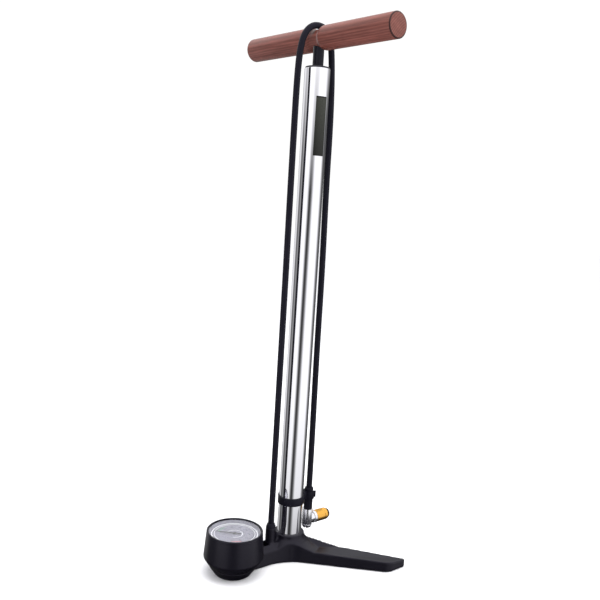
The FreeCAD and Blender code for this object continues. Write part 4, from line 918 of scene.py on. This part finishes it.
        holes = [
            ((0, 0), stack(self.spring_room, self.seat_room, self.barrel_socket)),
            ((0, 0), stack((self.hub_pad, under, self.pad_top))),
            ((0, -self.port_back),
             stack((self.port_riser, self.passage, self.nipple_bore[1]), self.nipple_bore)),
            ((0, back), [(inner, under), (outer, under), (outer, self.pad_top),
                         (inner, self.pad_top)]),
            ((0, back), [(0, self.seam), (self.shell_foot, self.seam),
                         (self.shell_radius, self.shell_shoulder),
                         (self.shell_radius, self.shell_top), (0, self.shell_top)]),
            ((0, stem), stack((self.gauge_riser, self.passage, through))),
        ]
        pad_side, pad_back = self.leg_pad_at
        for side in (1, -1):
            holes.append(((side * pad_side, pad_back),
                          stack((self.leg_pad, under, self.pad_top))))
        for turn in range(self.screw_count):
            angle = math.tau * turn / self.screw_count
            place = (self.screw_circle * math.cos(angle),
                     back + self.screw_circle * math.sin(angle))
            holes.append((place, stack((self.screw_head, under, self.screw_head_top),
                                       (self.screw_hole, self.screw_head_top, through))))
        made = [Bench.turned([(radius, height, 0) for radius, height in outline], (x, y, 0),
                             steps=48) for (x, y), outline in holes]
        made.append(Bench.turned([(0, stem, 0), (self.passage_radius, stem, 0),
                                  (self.passage_radius, -self.passage_end, 0),
                                  (0, -self.passage_end, 0)],
                                 (0, 0, self.passage), Axis.ALONG_Y, steps=32))
        return made

    def spring(self) -> None:
        """Copies the foot valve's spring as a piece of its own and hides the node."""
        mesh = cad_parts["valve_spring"].data.copy()
        mesh.name = "ball_spring"
        mesh.materials.clear()
        mesh.materials.append(STEEL.material())
        coil = bpy.data.objects.new("ball_spring", mesh)
        bpy.context.scene.collection.objects.link(coil)
        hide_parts("valve_spring")
        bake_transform(coil)

    def build(self) -> None:
        """Makes the casting and dresses the pads."""
        Bench.piece("stand_casting", self.casting(), STAND_BLACK, "stand", "stand_black",
                    ["base_casting"], sharp=60.0)
        Bench.dress(PAD_RUBBER, "hub_foot", "gauge_foot", "leg_foot_left", "leg_foot_right")
        Bench.dress(BRASS, "valve_seat")
        Bench.dress(STEEL, "valve_ball")
        self.spring()


@dataclass
class Barrel:
    """The chromed tube with its cap, wiper and label."""

    radius: float = 16.0
    bore: float = 14.8
    low: float = 16.0
    top: float = 629.7
    cap_radius: float = 15.3
    cap_top: float = 631.9
    cap_low: float = 611.7
    cap_plug: float = 14.75
    cap_bore: float = 7.3
    wiper_radius: float = 9.3
    wiper_depth: float = 2.6

    def build(self) -> None:
        """Makes the tube and its cap and dresses what is inside."""
        tube = Bench.turned([(self.bore, self.low, 0), (self.radius, self.low, 0),
                             (self.radius, self.top, 0.4), (self.bore, self.top, 0.2)], steps=128)
        Bench.piece("barrel_tube", tube, CHROME, "stand", "barrel_chrome", ["barrel"])
        ledge = self.cap_top - self.wiper_depth
        cap = Bench.turned([(self.cap_bore, self.cap_low, 0), (self.cap_plug, self.cap_low, 0),
                            (self.cap_plug, self.top, 0), (self.cap_radius, self.top, 0.3),
                            (self.cap_radius, self.cap_top, 0.9),
                            (self.wiper_radius, self.cap_top, 0.3),
                            (self.wiper_radius, ledge, 0), (self.cap_bore, ledge, 0)])
        Bench.piece("barrel_cap", cap, CAP_BLACK, "stand", "cap_plastic", ["top_cap"])
        Bench.dress(SEAL_RUBBER, "barrel_gasket", "rod_wiper", "bump_stop")
        Bench.dress(BUSHING_PLASTIC, "rod_bushing")
        Bench.dress(LABEL, "label_plate")


@dataclass
class Plunger:
    """The rod, the wooden cross handle, its bolt and the piston."""

    rod_radius: float = 6.75
    rod_bore: float = 5.25
    rod_low: float = 36.5
    rod_top: float = 664.5
    rod_soft: float = 0.2

    def build(self) -> None:
        """Makes the rod, dresses the handle and the piston's pieces."""
        rod = Bench.turned([(self.rod_bore, self.rod_low, 0),
                            (self.rod_radius, self.rod_low, self.rod_soft),
                            (self.rod_radius, self.rod_top, self.rod_soft),
                            (self.rod_bore, self.rod_top, 0)], steps=64)
        Bench.piece("plunger_rod", rod, ROD_BLACK, "plunger", "rod_black", ["piston_rod"])
        handle = Bench.piece("cross_handle", Bench.softened("handle_grip", 0.35), WOOD,
                             "plunger", "handle_wood", ["handle_grip"])
        handle.visible_glossy = False
        Bench.dress(STEEL, "handle_bolt", "piston_washer", "piston_stud", "piston_nut")
        Bench.dress(BRASS, "rod_plug")
        Bench.dress(BUSHING_PLASTIC, "piston_head", "guide_ring")
        Bench.dress(SEAL_RUBBER, "piston_cup")


@dataclass
class Gauge:
    """The dial gauge: its case, rim, glass, printed dial, needle and works."""

    back: float = 87.8
    top_number: int = 160
    zero_angle: float = -135.0
    sweep: float = 270.0
    dial_top: float = 50.0
    glass_low: float = 53.6
    glass_top: float = 55.2
    pane_flat: float = 33.3
    pane_radius: float = 34.0
    dial_radius: float = 32.15
    second_end: float = 213.3
    line_rise: float = 0.04
    ring_rise: float = 0.03
    tick_rise: float = 0.05
    needle_width: float = 1.7

    def angle_of(self, number: float) -> float:
        """The angle, in radians from +X, at which the dial shows a number."""
        return math.radians(self.zero_angle - self.sweep * number / self.top_number)

    def at(self, angle: float, radius: float, height: float) -> Matrix:
        """The place and turn of a mark that points away from the dial's centre."""
        centre = Vector((math.cos(angle) * radius, math.sin(angle) * radius - self.back, height))
        return Matrix.Translation(centre * MM) @ Matrix.Rotation(angle, 4, "Z")

    def ticks(self, step: float, radius: float, length: float, width: float,
              rise: float) -> list[bmesh.types.BMesh]:
        """Small bars round the dial."""
        marks = []
        number = 0.0
        while number <= self.top_number + 0.01:
            bar = bmesh.new()
            shape = Matrix.Diagonal((length * MM, width * MM, rise * MM, 1))
            place = self.at(self.angle_of(number), radius, self.dial_top + rise / 2)
            bmesh.ops.create_cube(bar, size=1.0, matrix=place @ shape)
            marks.append(bar)
            number += step
        return marks

    def arc(self, start: float, end: float, inner: float, outer: float,
            rise: float) -> bmesh.types.BMesh:
        """A flat band on the dial between two numbers."""
        bm = bmesh.new()
        low, high = self.dial_top * MM, (self.dial_top + rise) * MM
        a, b = self.angle_of(start), self.angle_of(end)
        toward = Vector((math.cos(a), math.sin(a), 0.0))
        centre = Vector((0, -self.back * MM, 0))
        corners = [centre + toward * r * MM + Vector((0, 0, z))
                   for r, z in ((inner, low), (outer, low), (outer, high), (inner, high))]
        face = bm.faces.new([bm.verts.new(c) for c in corners])
        steps = max(4, int(abs(math.degrees(b - a)) / 4))
        bmesh.ops.spin(bm, geom=[face, *face.edges, *face.verts], cent=centre, axis=(0, 0, 1),
                       angle=b - a, steps=steps, use_merge=False, use_duplicate=False)
        bmesh.ops.remove_doubles(bm, verts=bm.verts, dist=1e-8)
        bmesh.ops.recalc_face_normals(bm, faces=bm.faces)
        return bm

    def numbers(self, size: float, radius: float) -> bmesh.types.BMesh:
        """The plain numbers of the scale as thin raised figures."""
        whole = bmesh.new()
        for number in range(0, self.top_number + 1, 20):
            text = bpy.data.curves.new("figure", "FONT")
            text.body, text.size, text.extrude = str(number), size * MM, 0.00003
            text.align_x, text.align_y, text.resolution_u = "CENTER", "CENTER", 3
            holder = bpy.data.objects.new("figure", text)
            bpy.context.scene.collection.objects.link(holder)
            graph = bpy.context.evaluated_depsgraph_get()
            mesh = bpy.data.meshes.new_from_object(holder.evaluated_get(graph))
            angle = self.angle_of(number)
            mesh.transform(Matrix.Translation(Vector((
                math.cos(angle) * radius, math.sin(angle) * radius - self.back,
                self.dial_top + 0.03)) * MM))
            whole.from_mesh(mesh)
            bpy.data.objects.remove(holder)
            bpy.data.curves.remove(text)
            bpy.data.meshes.remove(mesh)
        bmesh.ops.remove_doubles(whole, verts=whole.verts, dist=1e-8)
        return whole

    def build_case(self) -> None:
        """Makes the case, its rim and the glass."""
        centre = (0, -self.back, 0)
        case = Bench.turned([
            (0, 12.2, 0), (30.9, 12.2, 0.5), (38.0, 22.7, 1.0), (35.5, self.glass_low, 0),
            (32.2, self.glass_low, 0), (32.2, 49.0, 0), (30.4, 49.0, 0), (30.4, 47.2, 0),
            (33.7, 43.6, 0), (35.4, 22.7, 0), (28.6, 15.0, 0), (0, 15.0, 0)], centre, steps=128)
        Bench.piece("gauge_case", case, GAUGE_BLACK, "stand", "gauge_plastic", ["gauge_shell"])
        rim = Bench.turned([
            (34.05, self.glass_low, 0), (35.5, self.glass_low, 0.15), (35.3, 56.2, 0.9),
            (33.0, 56.2, 0.4), (33.0, self.glass_top, 0), (34.05, self.glass_top, 0)],
            centre, steps=128)
        Bench.piece("gauge_rim", rim, GAUGE_BLACK, "stand", "gauge_plastic", ["gauge_bezel"])
        glass = Bench.turned([(0, self.glass_low, 0), (self.pane_flat, self.glass_low, 0),
                              (self.pane_radius, self.glass_low, 0.2),
                              (self.pane_radius, self.glass_top, 0.2),
                              (self.pane_flat, self.glass_top, 0), (0, self.glass_top, 0)],
                             centre)
        pane = Bench.piece("gauge_pane", glass, CLEAR, "stand", "clear_glass", ["gauge_glass"])
        pane.visible_shadow = False

    def build_dial(self) -> None:
        """Makes the dial with its printing, and the needle over it."""
        centre = (0, -self.back, 0)
        top = self.dial_top
        rim, end = self.dial_radius, self.second_end
        face = Bench.turned([(1.4, top - 1, 0), (rim, top - 1, 0), (rim, top, 0.2),
                             (1.4, top, 0)], centre)
        Bench.piece("dial_plate", face, DIAL_GREY, "stand", "dial_face", ["gauge_dial"])
        collar = Bench.turned([(30.7, top, 0), (rim, top, 0), (rim, self.glass_low - 0.1, 0),
                               (31.7, self.glass_low - 0.1, 0), (31.2, top + 1.6, 0.2)], centre)
        Bench.piece("dial_collar", collar, DIAL_GREY, "stand", "dial_face")
        pale = [self.arc(0, last, inner, outer, self.ring_rise) for last, inner, outer in
                ((end, 28.2, 29.2), (end, 25.2, 25.9), (self.top_number, 9.7, 10.3))]
        Bench.piece("dial_rings", Bench.joined(pale), INK_WHITE, "stand", "dial_face")
        dark = [tick for step, radius, length, width in
                ((20, 22.7, 3.4, 0.5), (10, 23.3, 2.2, 0.4), (2, 23.8, 1.2, 0.22))
                for tick in self.ticks(step, radius, length, width, self.tick_rise)]
        dark += [self.arc(0, last, inner, outer, self.line_rise) for last, inner, outer in
                 ((end, 30.0, 30.2), (end, 27.0, 27.2), (self.top_number, 24.4, 24.7),
                  (self.top_number, 13.0, 13.3))]
        dark += [self.numbers(3.6, 18.0), *self.ticks(14.5, 12.0, 2.0, 0.35, self.tick_rise)]
        Bench.piece("dial_marks", Bench.joined(dark), INK_DARK, "stand", "dial_face")
        for name, first, last, ink in (("dial_band_low", 4, 26, INK_GREEN),
                                       ("dial_band_high", 140, 160, INK_RED)):
            Bench.piece(name, self.arc(first, last, 20.6, 21.6, self.line_rise), ink, "stand",
                        "dial_face")
        low, half = top + 1.0, self.needle_width / 2
        hand = Bench.slab([(25, 0.15, low), (6, half, low), (-6.0, half, low), (-8, 0.5, low),
                           (-8, -0.5, low), (-6.0, -half, low), (6, -half, low),
                           (25, -0.15, low)], (0, 0, 0.5))
        bmesh.ops.transform(hand, verts=hand.verts, matrix=self.at(math.radians(
            self.zero_angle), 0, 0))
        boss = Bench.turned([(0, low, 0), (2.6, low, 0), (2.6, low + 0.7, 0.3),
                             (1.6, low + 1.0, 0), (0, low + 1.0, 0)], centre, steps=48)
        Bench.piece("gauge_hand", Bench.joined([hand, boss]), INK_DARK, "needle", "needle_paint",
                    ["gauge_needle"])

    def build(self) -> None:
        """Makes the gauge and dresses its works."""
        self.build_case()
        self.build_dial()
        Bench.dress(STEEL, "gauge_screws", "gauge_spindle")
        Bench.dress(BRASS, "gauge_movement", "gauge_socket", "bourdon_tube")


@dataclass
class Hose:
    """The hose from the port, over the handle and down to the parked valve head."""

    diameter: float = 0.008
    length: float = 1.262
    corners: tuple[tuple[float, float, float], ...] = (
        (0.0, -0.031, 0.046), (0.0, -0.031, 0.128), (-0.0003, -0.0307, 0.246),
        (0.0003, -0.031, 0.364), (-0.0005, -0.0307, 0.474), (-0.0004, -0.0308, 0.556),
        (-0.0012, -0.03, 0.612), (-0.002, -0.0277, 0.648), (-0.0026, -0.0215, 0.6696),
        (-0.0024, -0.0084, 0.6813), (-0.0018, 0.009, 0.6807), (-0.001, 0.0189, 0.668),
        (-0.0004, 0.0219, 0.646), (0.0, 0.0244, 0.612), (0.0003, 0.0259, 0.562),
        (-0.0003, 0.0264, 0.49), (0.0004, 0.028, 0.385), (-0.0003, 0.0287, 0.276),
        (0.0002, 0.0296, 0.178), (0.0, 0.0305, 0.116), (0.0, 0.0305, 0.078),
    )
    on_it: tuple[str, ...] = ("valve_pin", "gasket_spacer", "chuck_gasket", "chuck_pusher",
                              "hose_nipple")

    def drawn(self, thickness: float) -> bpy.types.Mesh:
        """Draws the hose's smooth line as a mesh.

        Args:
            thickness: The tube's radius in metres, or 0 for the bare line.

        Returns:
            The line or the tube.
        """
        curve = bpy.data.curves.new("hose_line", "CURVE")
        curve.dimensions, curve.resolution_u = "3D", 16
        curve.bevel_depth, curve.bevel_resolution = thickness, 6
        curve.use_fill_caps = True
        line = curve.splines.new("NURBS")
        line.points.add(len(self.corners) - 1)
        for point, corner in zip(line.points, self.corners):
            point.co = (*corner, 1.0)
        line.order_u, line.use_endpoint_u = 3, True
        holder = bpy.data.objects.new("hose_line", curve)
        bpy.context.scene.collection.objects.link(holder)
        graph = bpy.context.evaluated_depsgraph_get()
        mesh = bpy.data.meshes.new_from_object(holder.evaluated_get(graph))
        bpy.data.objects.remove(holder)
        bpy.data.curves.remove(curve)
        return mesh

    def build(self, fittings: Sequence[bpy.types.Object]) -> None:
        """Args:
            fittings: The pieces that hang on it; not used.
        """
        line = self.drawn(0.0)
        bpy.data.meshes.remove(line)
        mesh = self.drawn(self.diameter / 2)
        mesh.name = "hose_tube"
        mesh.materials.clear()
        mesh.materials.append(HOSE_RUBBER.material())
        mesh.shade_smooth()
        tube = bpy.data.objects.new("hose_tube", mesh)
        bpy.context.scene.collection.objects.link(tube)
        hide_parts("hose")
        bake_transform(tube)


@dataclass
class ValveHead:
    """The clip on the barrel and the parked valve head with its gold sleeve."""

    back: float = 30.5
    chuck: float = 43.3
    port_back: float = 31.0
    grip: float = 8.0
    grip_low: float = 45.0
    grip_high: float = 56.0
    ridge: float = 1.02
    groove: float = 0.965
    rows: int = 15
    turns: int = 48

    def sleeve(self) -> bmesh.types.BMesh:
        """The sleeve: a knurled grip, a groove and a plain rounded nose."""
        grip, grip_low, grip_high = self.grip, self.grip_low, self.grip_high
        outline = [(6.2, 43.2, 0), (7.6, 43.2, 0.2), (grip, 43.7, 0), (grip, grip_low - 0.4, 0)]
        outline += [(grip, grip_low + (grip_high - grip_low) * i / self.rows, 0)
                    for i in range(self.rows + 1)]
        outline += [(grip, 56.4, 0), (7.6, 56.9, 0), (7.6, 57.3, 0), (grip, 57.8, 0.15),
                    (grip, 61.3, 0.8), (7.0, 63.5, 0.7), (4.0, 63.5, 0.2), (4.0, 61.9, 0),
                    (6.2, 61.9, 0)]
        bm = Bench.turned(outline, steps=self.turns)
        step = math.tau / self.turns
        for vert in bm.verts:
            radius = math.hypot(vert.co.x, vert.co.y)
            if abs(radius - grip * MM) < 1e-6 and grip_low * MM < vert.co.z < grip_high * MM:
                row = round((vert.co.z / MM - grip_low) / (grip_high - grip_low) * self.rows)
                column = round(math.atan2(vert.co.y, vert.co.x) / step)
                share = self.ridge if (row + column) % 2 else self.groove
                vert.co.x *= share
                vert.co.y *= share
        bmesh.ops.transform(bm, verts=bm.verts, matrix=Matrix.Translation(
            Vector((0, 0, self.chuck)) * MM) @ Axis.ALONG_Y.value)
        return bm

    def build(self) -> list[bpy.types.Object]:
        """Makes the head's pieces.

        Returns:
            The pieces that hang on the hose.
        """
        Bench.piece("barrel_clip", Bench.softened("head_clip", 0.3), CLIP_BLACK, "stand",
                    "clip_plastic", ["head_clip"])
        axis = (0, 0, self.chuck)
        boot = Bench.turned([(4.1, 58.0, 0), (5.4, 58.0, 0.3), (5.9, 58.6, 0.3), (5.9, 86.4, 0.8),
                             (5.2, 88.0, 0.4), (4.1, 88.0, 0)], (0, self.back, 0), steps=64)
        port_boot = Bench.turned([(4.05, 46.0, 0), (6.6, 46.0, 0.4), (6.2, 47.6, 0.6),
                                  (4.9, 51.2, 0.4), (4.05, 51.6, 0)],
                                 (0, -self.port_back, 0), steps=64)
        ring = Bench.turned([(4.0, 63.5, 0.15), (6.2, 63.5, 0), (6.2, 66.0, 0.7),
                             (4.0, 66.0, 0.4)], axis, Axis.ALONG_Y, steps=64)
        hung = [
            Bench.piece("head_sleeve", boot, HOSE_RUBBER, "stand", "hose_rubber", ["head_boot"]),
            Bench.piece("port_boot", port_boot, HOSE_RUBBER, "stand", "hose_rubber",
                        ["hose_boot"]),
            Bench.piece("head_body", Bench.softened("valve_body", 0.12), HEAD_CHROME, "stand",
                        "head_chrome", ["valve_body"]),
            Bench.piece("head_tool", Bench.softened("core_tool", 0.15), HEAD_CHROME, "core_tool",
                        "head_chrome", ["core_tool"]),
            Bench.piece("head_stem", Bench.softened("chuck_stem", 0.15), HEAD_CHROME, "stand",
                        "head_chrome", ["chuck_stem"]),
            Bench.piece("gold_sleeve", self.sleeve(), GOLD, "sleeve", "sleeve_gold",
                        ["chuck_sleeve"], sharp=20.0),
            Bench.piece("sleeve_end", ring, CLIP_BLACK, "sleeve", "cap_plastic",
                        ["chuck_end_ring"]),
        ]
        Bench.dress(SEAL_RUBBER, "chuck_gasket")
        Bench.dress(BRASS, "chuck_pusher", "valve_pin", "hose_nipple")
        Bench.dress(BUSHING_PLASTIC, "gasket_spacer")
        return hung


# ---------------------------------------------------------------- studio
@dataclass
class Studio:
    """The pale floor, the soft light and the camera."""

    camera_at: tuple[float, float, float] = (0.7075, -0.5827, 0.4703)
    ahead: tuple[float, float, float] = (-0.7675, 0.6263, -0.1364)
    above: tuple[float, float, float] = (-0.1443, 0.0385, 0.9888)
    lens: float = 43.5
    turns: tuple[tuple[float, float], ...] = (
        (-180, 0.30), (-145, 0.62), (-125, 0.80), (-108, 0.12), (-97, 0.14), (-89, 0.34),
        (-80, 0.10), (-72, 0.16), (-62, 0.95), (-24, 1.0), (-15, 0.50), (-8, 0.10), (0, 0.03),
        (8, 0.08), (17, 0.30), (27, 0.85), (34, 1.0), (94, 1.0), (106, 0.45), (122, 0.07),
        (150, 0.12), (180, 0.30),
    )
    slopes: tuple[tuple[float, float], ...] = (
        (-90, 0.05), (-42, 0.10), (-31, 0.22), (-26, 0.50), (-21, 0.80), (-12, 1.0), (90, 1.0),
    )
    roof_starts: float = 12.0
    roof_full: float = 30.0
    roof_level: float = 1.1
    mirrored_strength: float = 1.15
    soft_strength: float = 1.12
    seen_strength: float = 1.05

    @property
    def panels(self) -> list[tuple[float, float]]:
        """The panorama's levels by their share of the way round, from behind the camera."""
        return [((angle + 180) / 360, level) for angle, level in self.turns]

    @property
    def heights(self) -> list[tuple[float, float]]:
        """The panorama's levels by their share of the way up."""
        return [((math.sin(math.radians(angle)) + 1) / 2, level) for angle, level in self.slopes]

    def floor(self) -> None:
        """Lays the floor."""
        bm = bmesh.new()
        bmesh.ops.create_circle(bm, cap_ends=True, segments=64, radius=9.0)
        mesh = bpy.data.meshes.new("studio_floor")
        bm.to_mesh(mesh)
        bm.free()
        recipe = Recipe("studio_floor_white")
        recipe.set(Base_Color=(0.94, 0.94, 0.95), Roughness=0.9, Specular_IOR_Level=0.1)
        mesh.materials.append(recipe.material)
        floor = bpy.data.objects.new("studio_floor", mesh)
        floor.visible_glossy = False
        bpy.context.scene.collection.objects.link(floor)

    def softbox(self, name: str, at: Sequence[float], size: Sequence[float],
                power: float) -> None:
        """Hangs an area light that faces the pump's middle.

        Args:
            name: The light's name.
            at: Where it hangs, in metres.
            size: Its width and height, in metres.
            power: Its power in watts.
        """
        data = bpy.data.lights.new(name, "AREA")
        data.shape, data.size, data.size_y = "RECTANGLE", *size
        data.energy = power
        light = bpy.data.objects.new(name, data)
        light.location = at
        aim = Vector((0, 0, 0.3)) - Vector(at)
        light.rotation_euler = aim.to_track_quat("-Z", "Y").to_euler()
        light.visible_camera = False
        light.visible_glossy = False
        bpy.context.scene.collection.objects.link(light)

    def surroundings(self) -> None:
        """Wraps the scene in white panels with dark gaps, plain white where seen directly."""
        world = bpy.data.worlds.new("studio")
        world.use_nodes = True
        tree = world.node_tree
        tree.nodes.clear()
        new, join = tree.nodes.new, tree.links.new
        where = new("ShaderNodeTexCoord")
        parts = new("ShaderNodeSeparateXYZ")
        turn = new("ShaderNodeMath")
        turn.operation = "ARCTAN2"
        join(where.outputs["Generated"], parts.inputs["Vector"])
        join(parts.outputs["Y"], turn.inputs[0])
        join(parts.outputs["X"], turn.inputs[1])
        facing = math.atan2(self.camera_at[1], self.camera_at[0])
        shift = new("ShaderNodeMath")
        shift.operation = "SUBTRACT"
        shift.inputs[1].default_value = facing
        join(turn.outputs[0], shift.inputs[0])
        wrap = new("ShaderNodeMath")
        wrap.operation = "WRAP"
        wrap.inputs[1].default_value, wrap.inputs[2].default_value = math.pi, -math.pi
        join(shift.outputs[0], wrap.inputs[0])
        around = new("ShaderNodeMapRange")
        around.inputs["From Min"].default_value = -math.pi
        around.inputs["From Max"].default_value = math.pi
        join(wrap.outputs[0], around.inputs["Value"])
        upward = new("ShaderNodeMapRange")
        upward.inputs["From Min"].default_value = -1.0
        join(parts.outputs["Z"], upward.inputs["Value"])
        levels = []
        for source, stops in ((around, self.panels), (upward, self.heights)):
            ramp = new("ShaderNodeValToRGB")
            elements = ramp.color_ramp.elements
            for element, stop in zip(elements, (stops[0], stops[-1])):
                element.position = stop[0]
                element.color = (stop[1], stop[1], stop[1], 1.0)
            for position, level in stops[1:-1]:
                elements.new(position).color = (level, level, level, 1.0)
            join(source.outputs["Result"], ramp.inputs["Fac"])
            levels.append(ramp.outputs["Color"])
        both = new("ShaderNodeMix")
        both.data_type, both.blend_type = "RGBA", "MULTIPLY"
        both.inputs[0].default_value = 1.0
        join(levels[0], both.inputs[6])
        join(levels[1], both.inputs[7])
        roof = new("ShaderNodeMapRange")
        roof.inputs["From Min"].default_value = math.sin(math.radians(self.roof_starts))
        roof.inputs["From Max"].default_value = math.sin(math.radians(self.roof_full))
        join(parts.outputs["Z"], roof.inputs["Value"])
        covered = new("ShaderNodeMix")
        covered.data_type = "RGBA"
        covered.inputs[7].default_value = (self.roof_level,) * 3 + (1.0,)
        join(roof.outputs["Result"], covered.inputs[0])
        join(both.outputs[2], covered.inputs[6])
        mirrored, soft, seen = (new("ShaderNodeBackground") for _ in range(3))
        join(covered.outputs[2], mirrored.inputs["Color"])
        mirrored.inputs["Strength"].default_value = self.mirrored_strength
        soft.inputs["Color"].default_value = (0.97, 0.97, 1.0, 1.0)
        soft.inputs["Strength"].default_value = self.soft_strength
        seen.inputs["Color"].default_value = (1.0, 1.0, 1.0, 1.0)
        seen.inputs["Strength"].default_value = self.seen_strength
        path = new("ShaderNodeLightPath")
        first, pick = new("ShaderNodeMixShader"), new("ShaderNodeMixShader")
        join(path.outputs["Is Glossy Ray"], first.inputs[0])
        join(soft.outputs[0], first.inputs[1])
        join(mirrored.outputs[0], first.inputs[2])
        join(path.outputs["Is Camera Ray"], pick.inputs[0])
        join(first.outputs[0], pick.inputs[1])
        join(seen.outputs[0], pick.inputs[2])
        out = new("ShaderNodeOutputWorld")
        join(pick.outputs[0], out.inputs["Surface"])
        bpy.context.scene.world = world

    def camera(self) -> None:
        """Sets up the camera."""
        ahead, above = Vector(self.ahead).normalized(), Vector(self.above)
        right = ahead.cross(above).normalized()
        above = right.cross(ahead)
        data = bpy.data.cameras.new("camera")
        data.lens, data.sensor_width = self.lens, 36.0
        data.clip_start, data.clip_end = 0.01, 50.0
        camera = bpy.data.objects.new("camera", data)
        turn = Matrix((right, above, -ahead)).transposed().to_4x4()
        camera.matrix_world = Matrix.Translation(self.camera_at) @ turn
        bpy.context.scene.collection.objects.link(camera)
        bpy.context.scene.camera = camera

    def build(self) -> None:
        """Makes the floor, the light and the camera."""
        self.floor()
        self.surroundings()
        self.softbox("overhead_light", (0.2, -0.1, 1.9), (1.6, 1.6), 26.0)
        self.softbox("side_light", (1.3, 0.9, 1.1), (1.0, 1.4), 10.0)
        self.camera()
        bpy.context.scene.view_settings.view_transform = "Standard"


def main() -> None:
    """Builds the pump's sub-assemblies in order."""
    logging.basicConfig(level=logging.INFO, format="%(name)s %(message)s")
    Studio().build()
    hung = ValveHead().build()
    Hose().build(hung)
    Stand().build()
    Barrel().build()
    Plunger().build()
    Gauge().build()


if __name__ == "__main__":
    main()
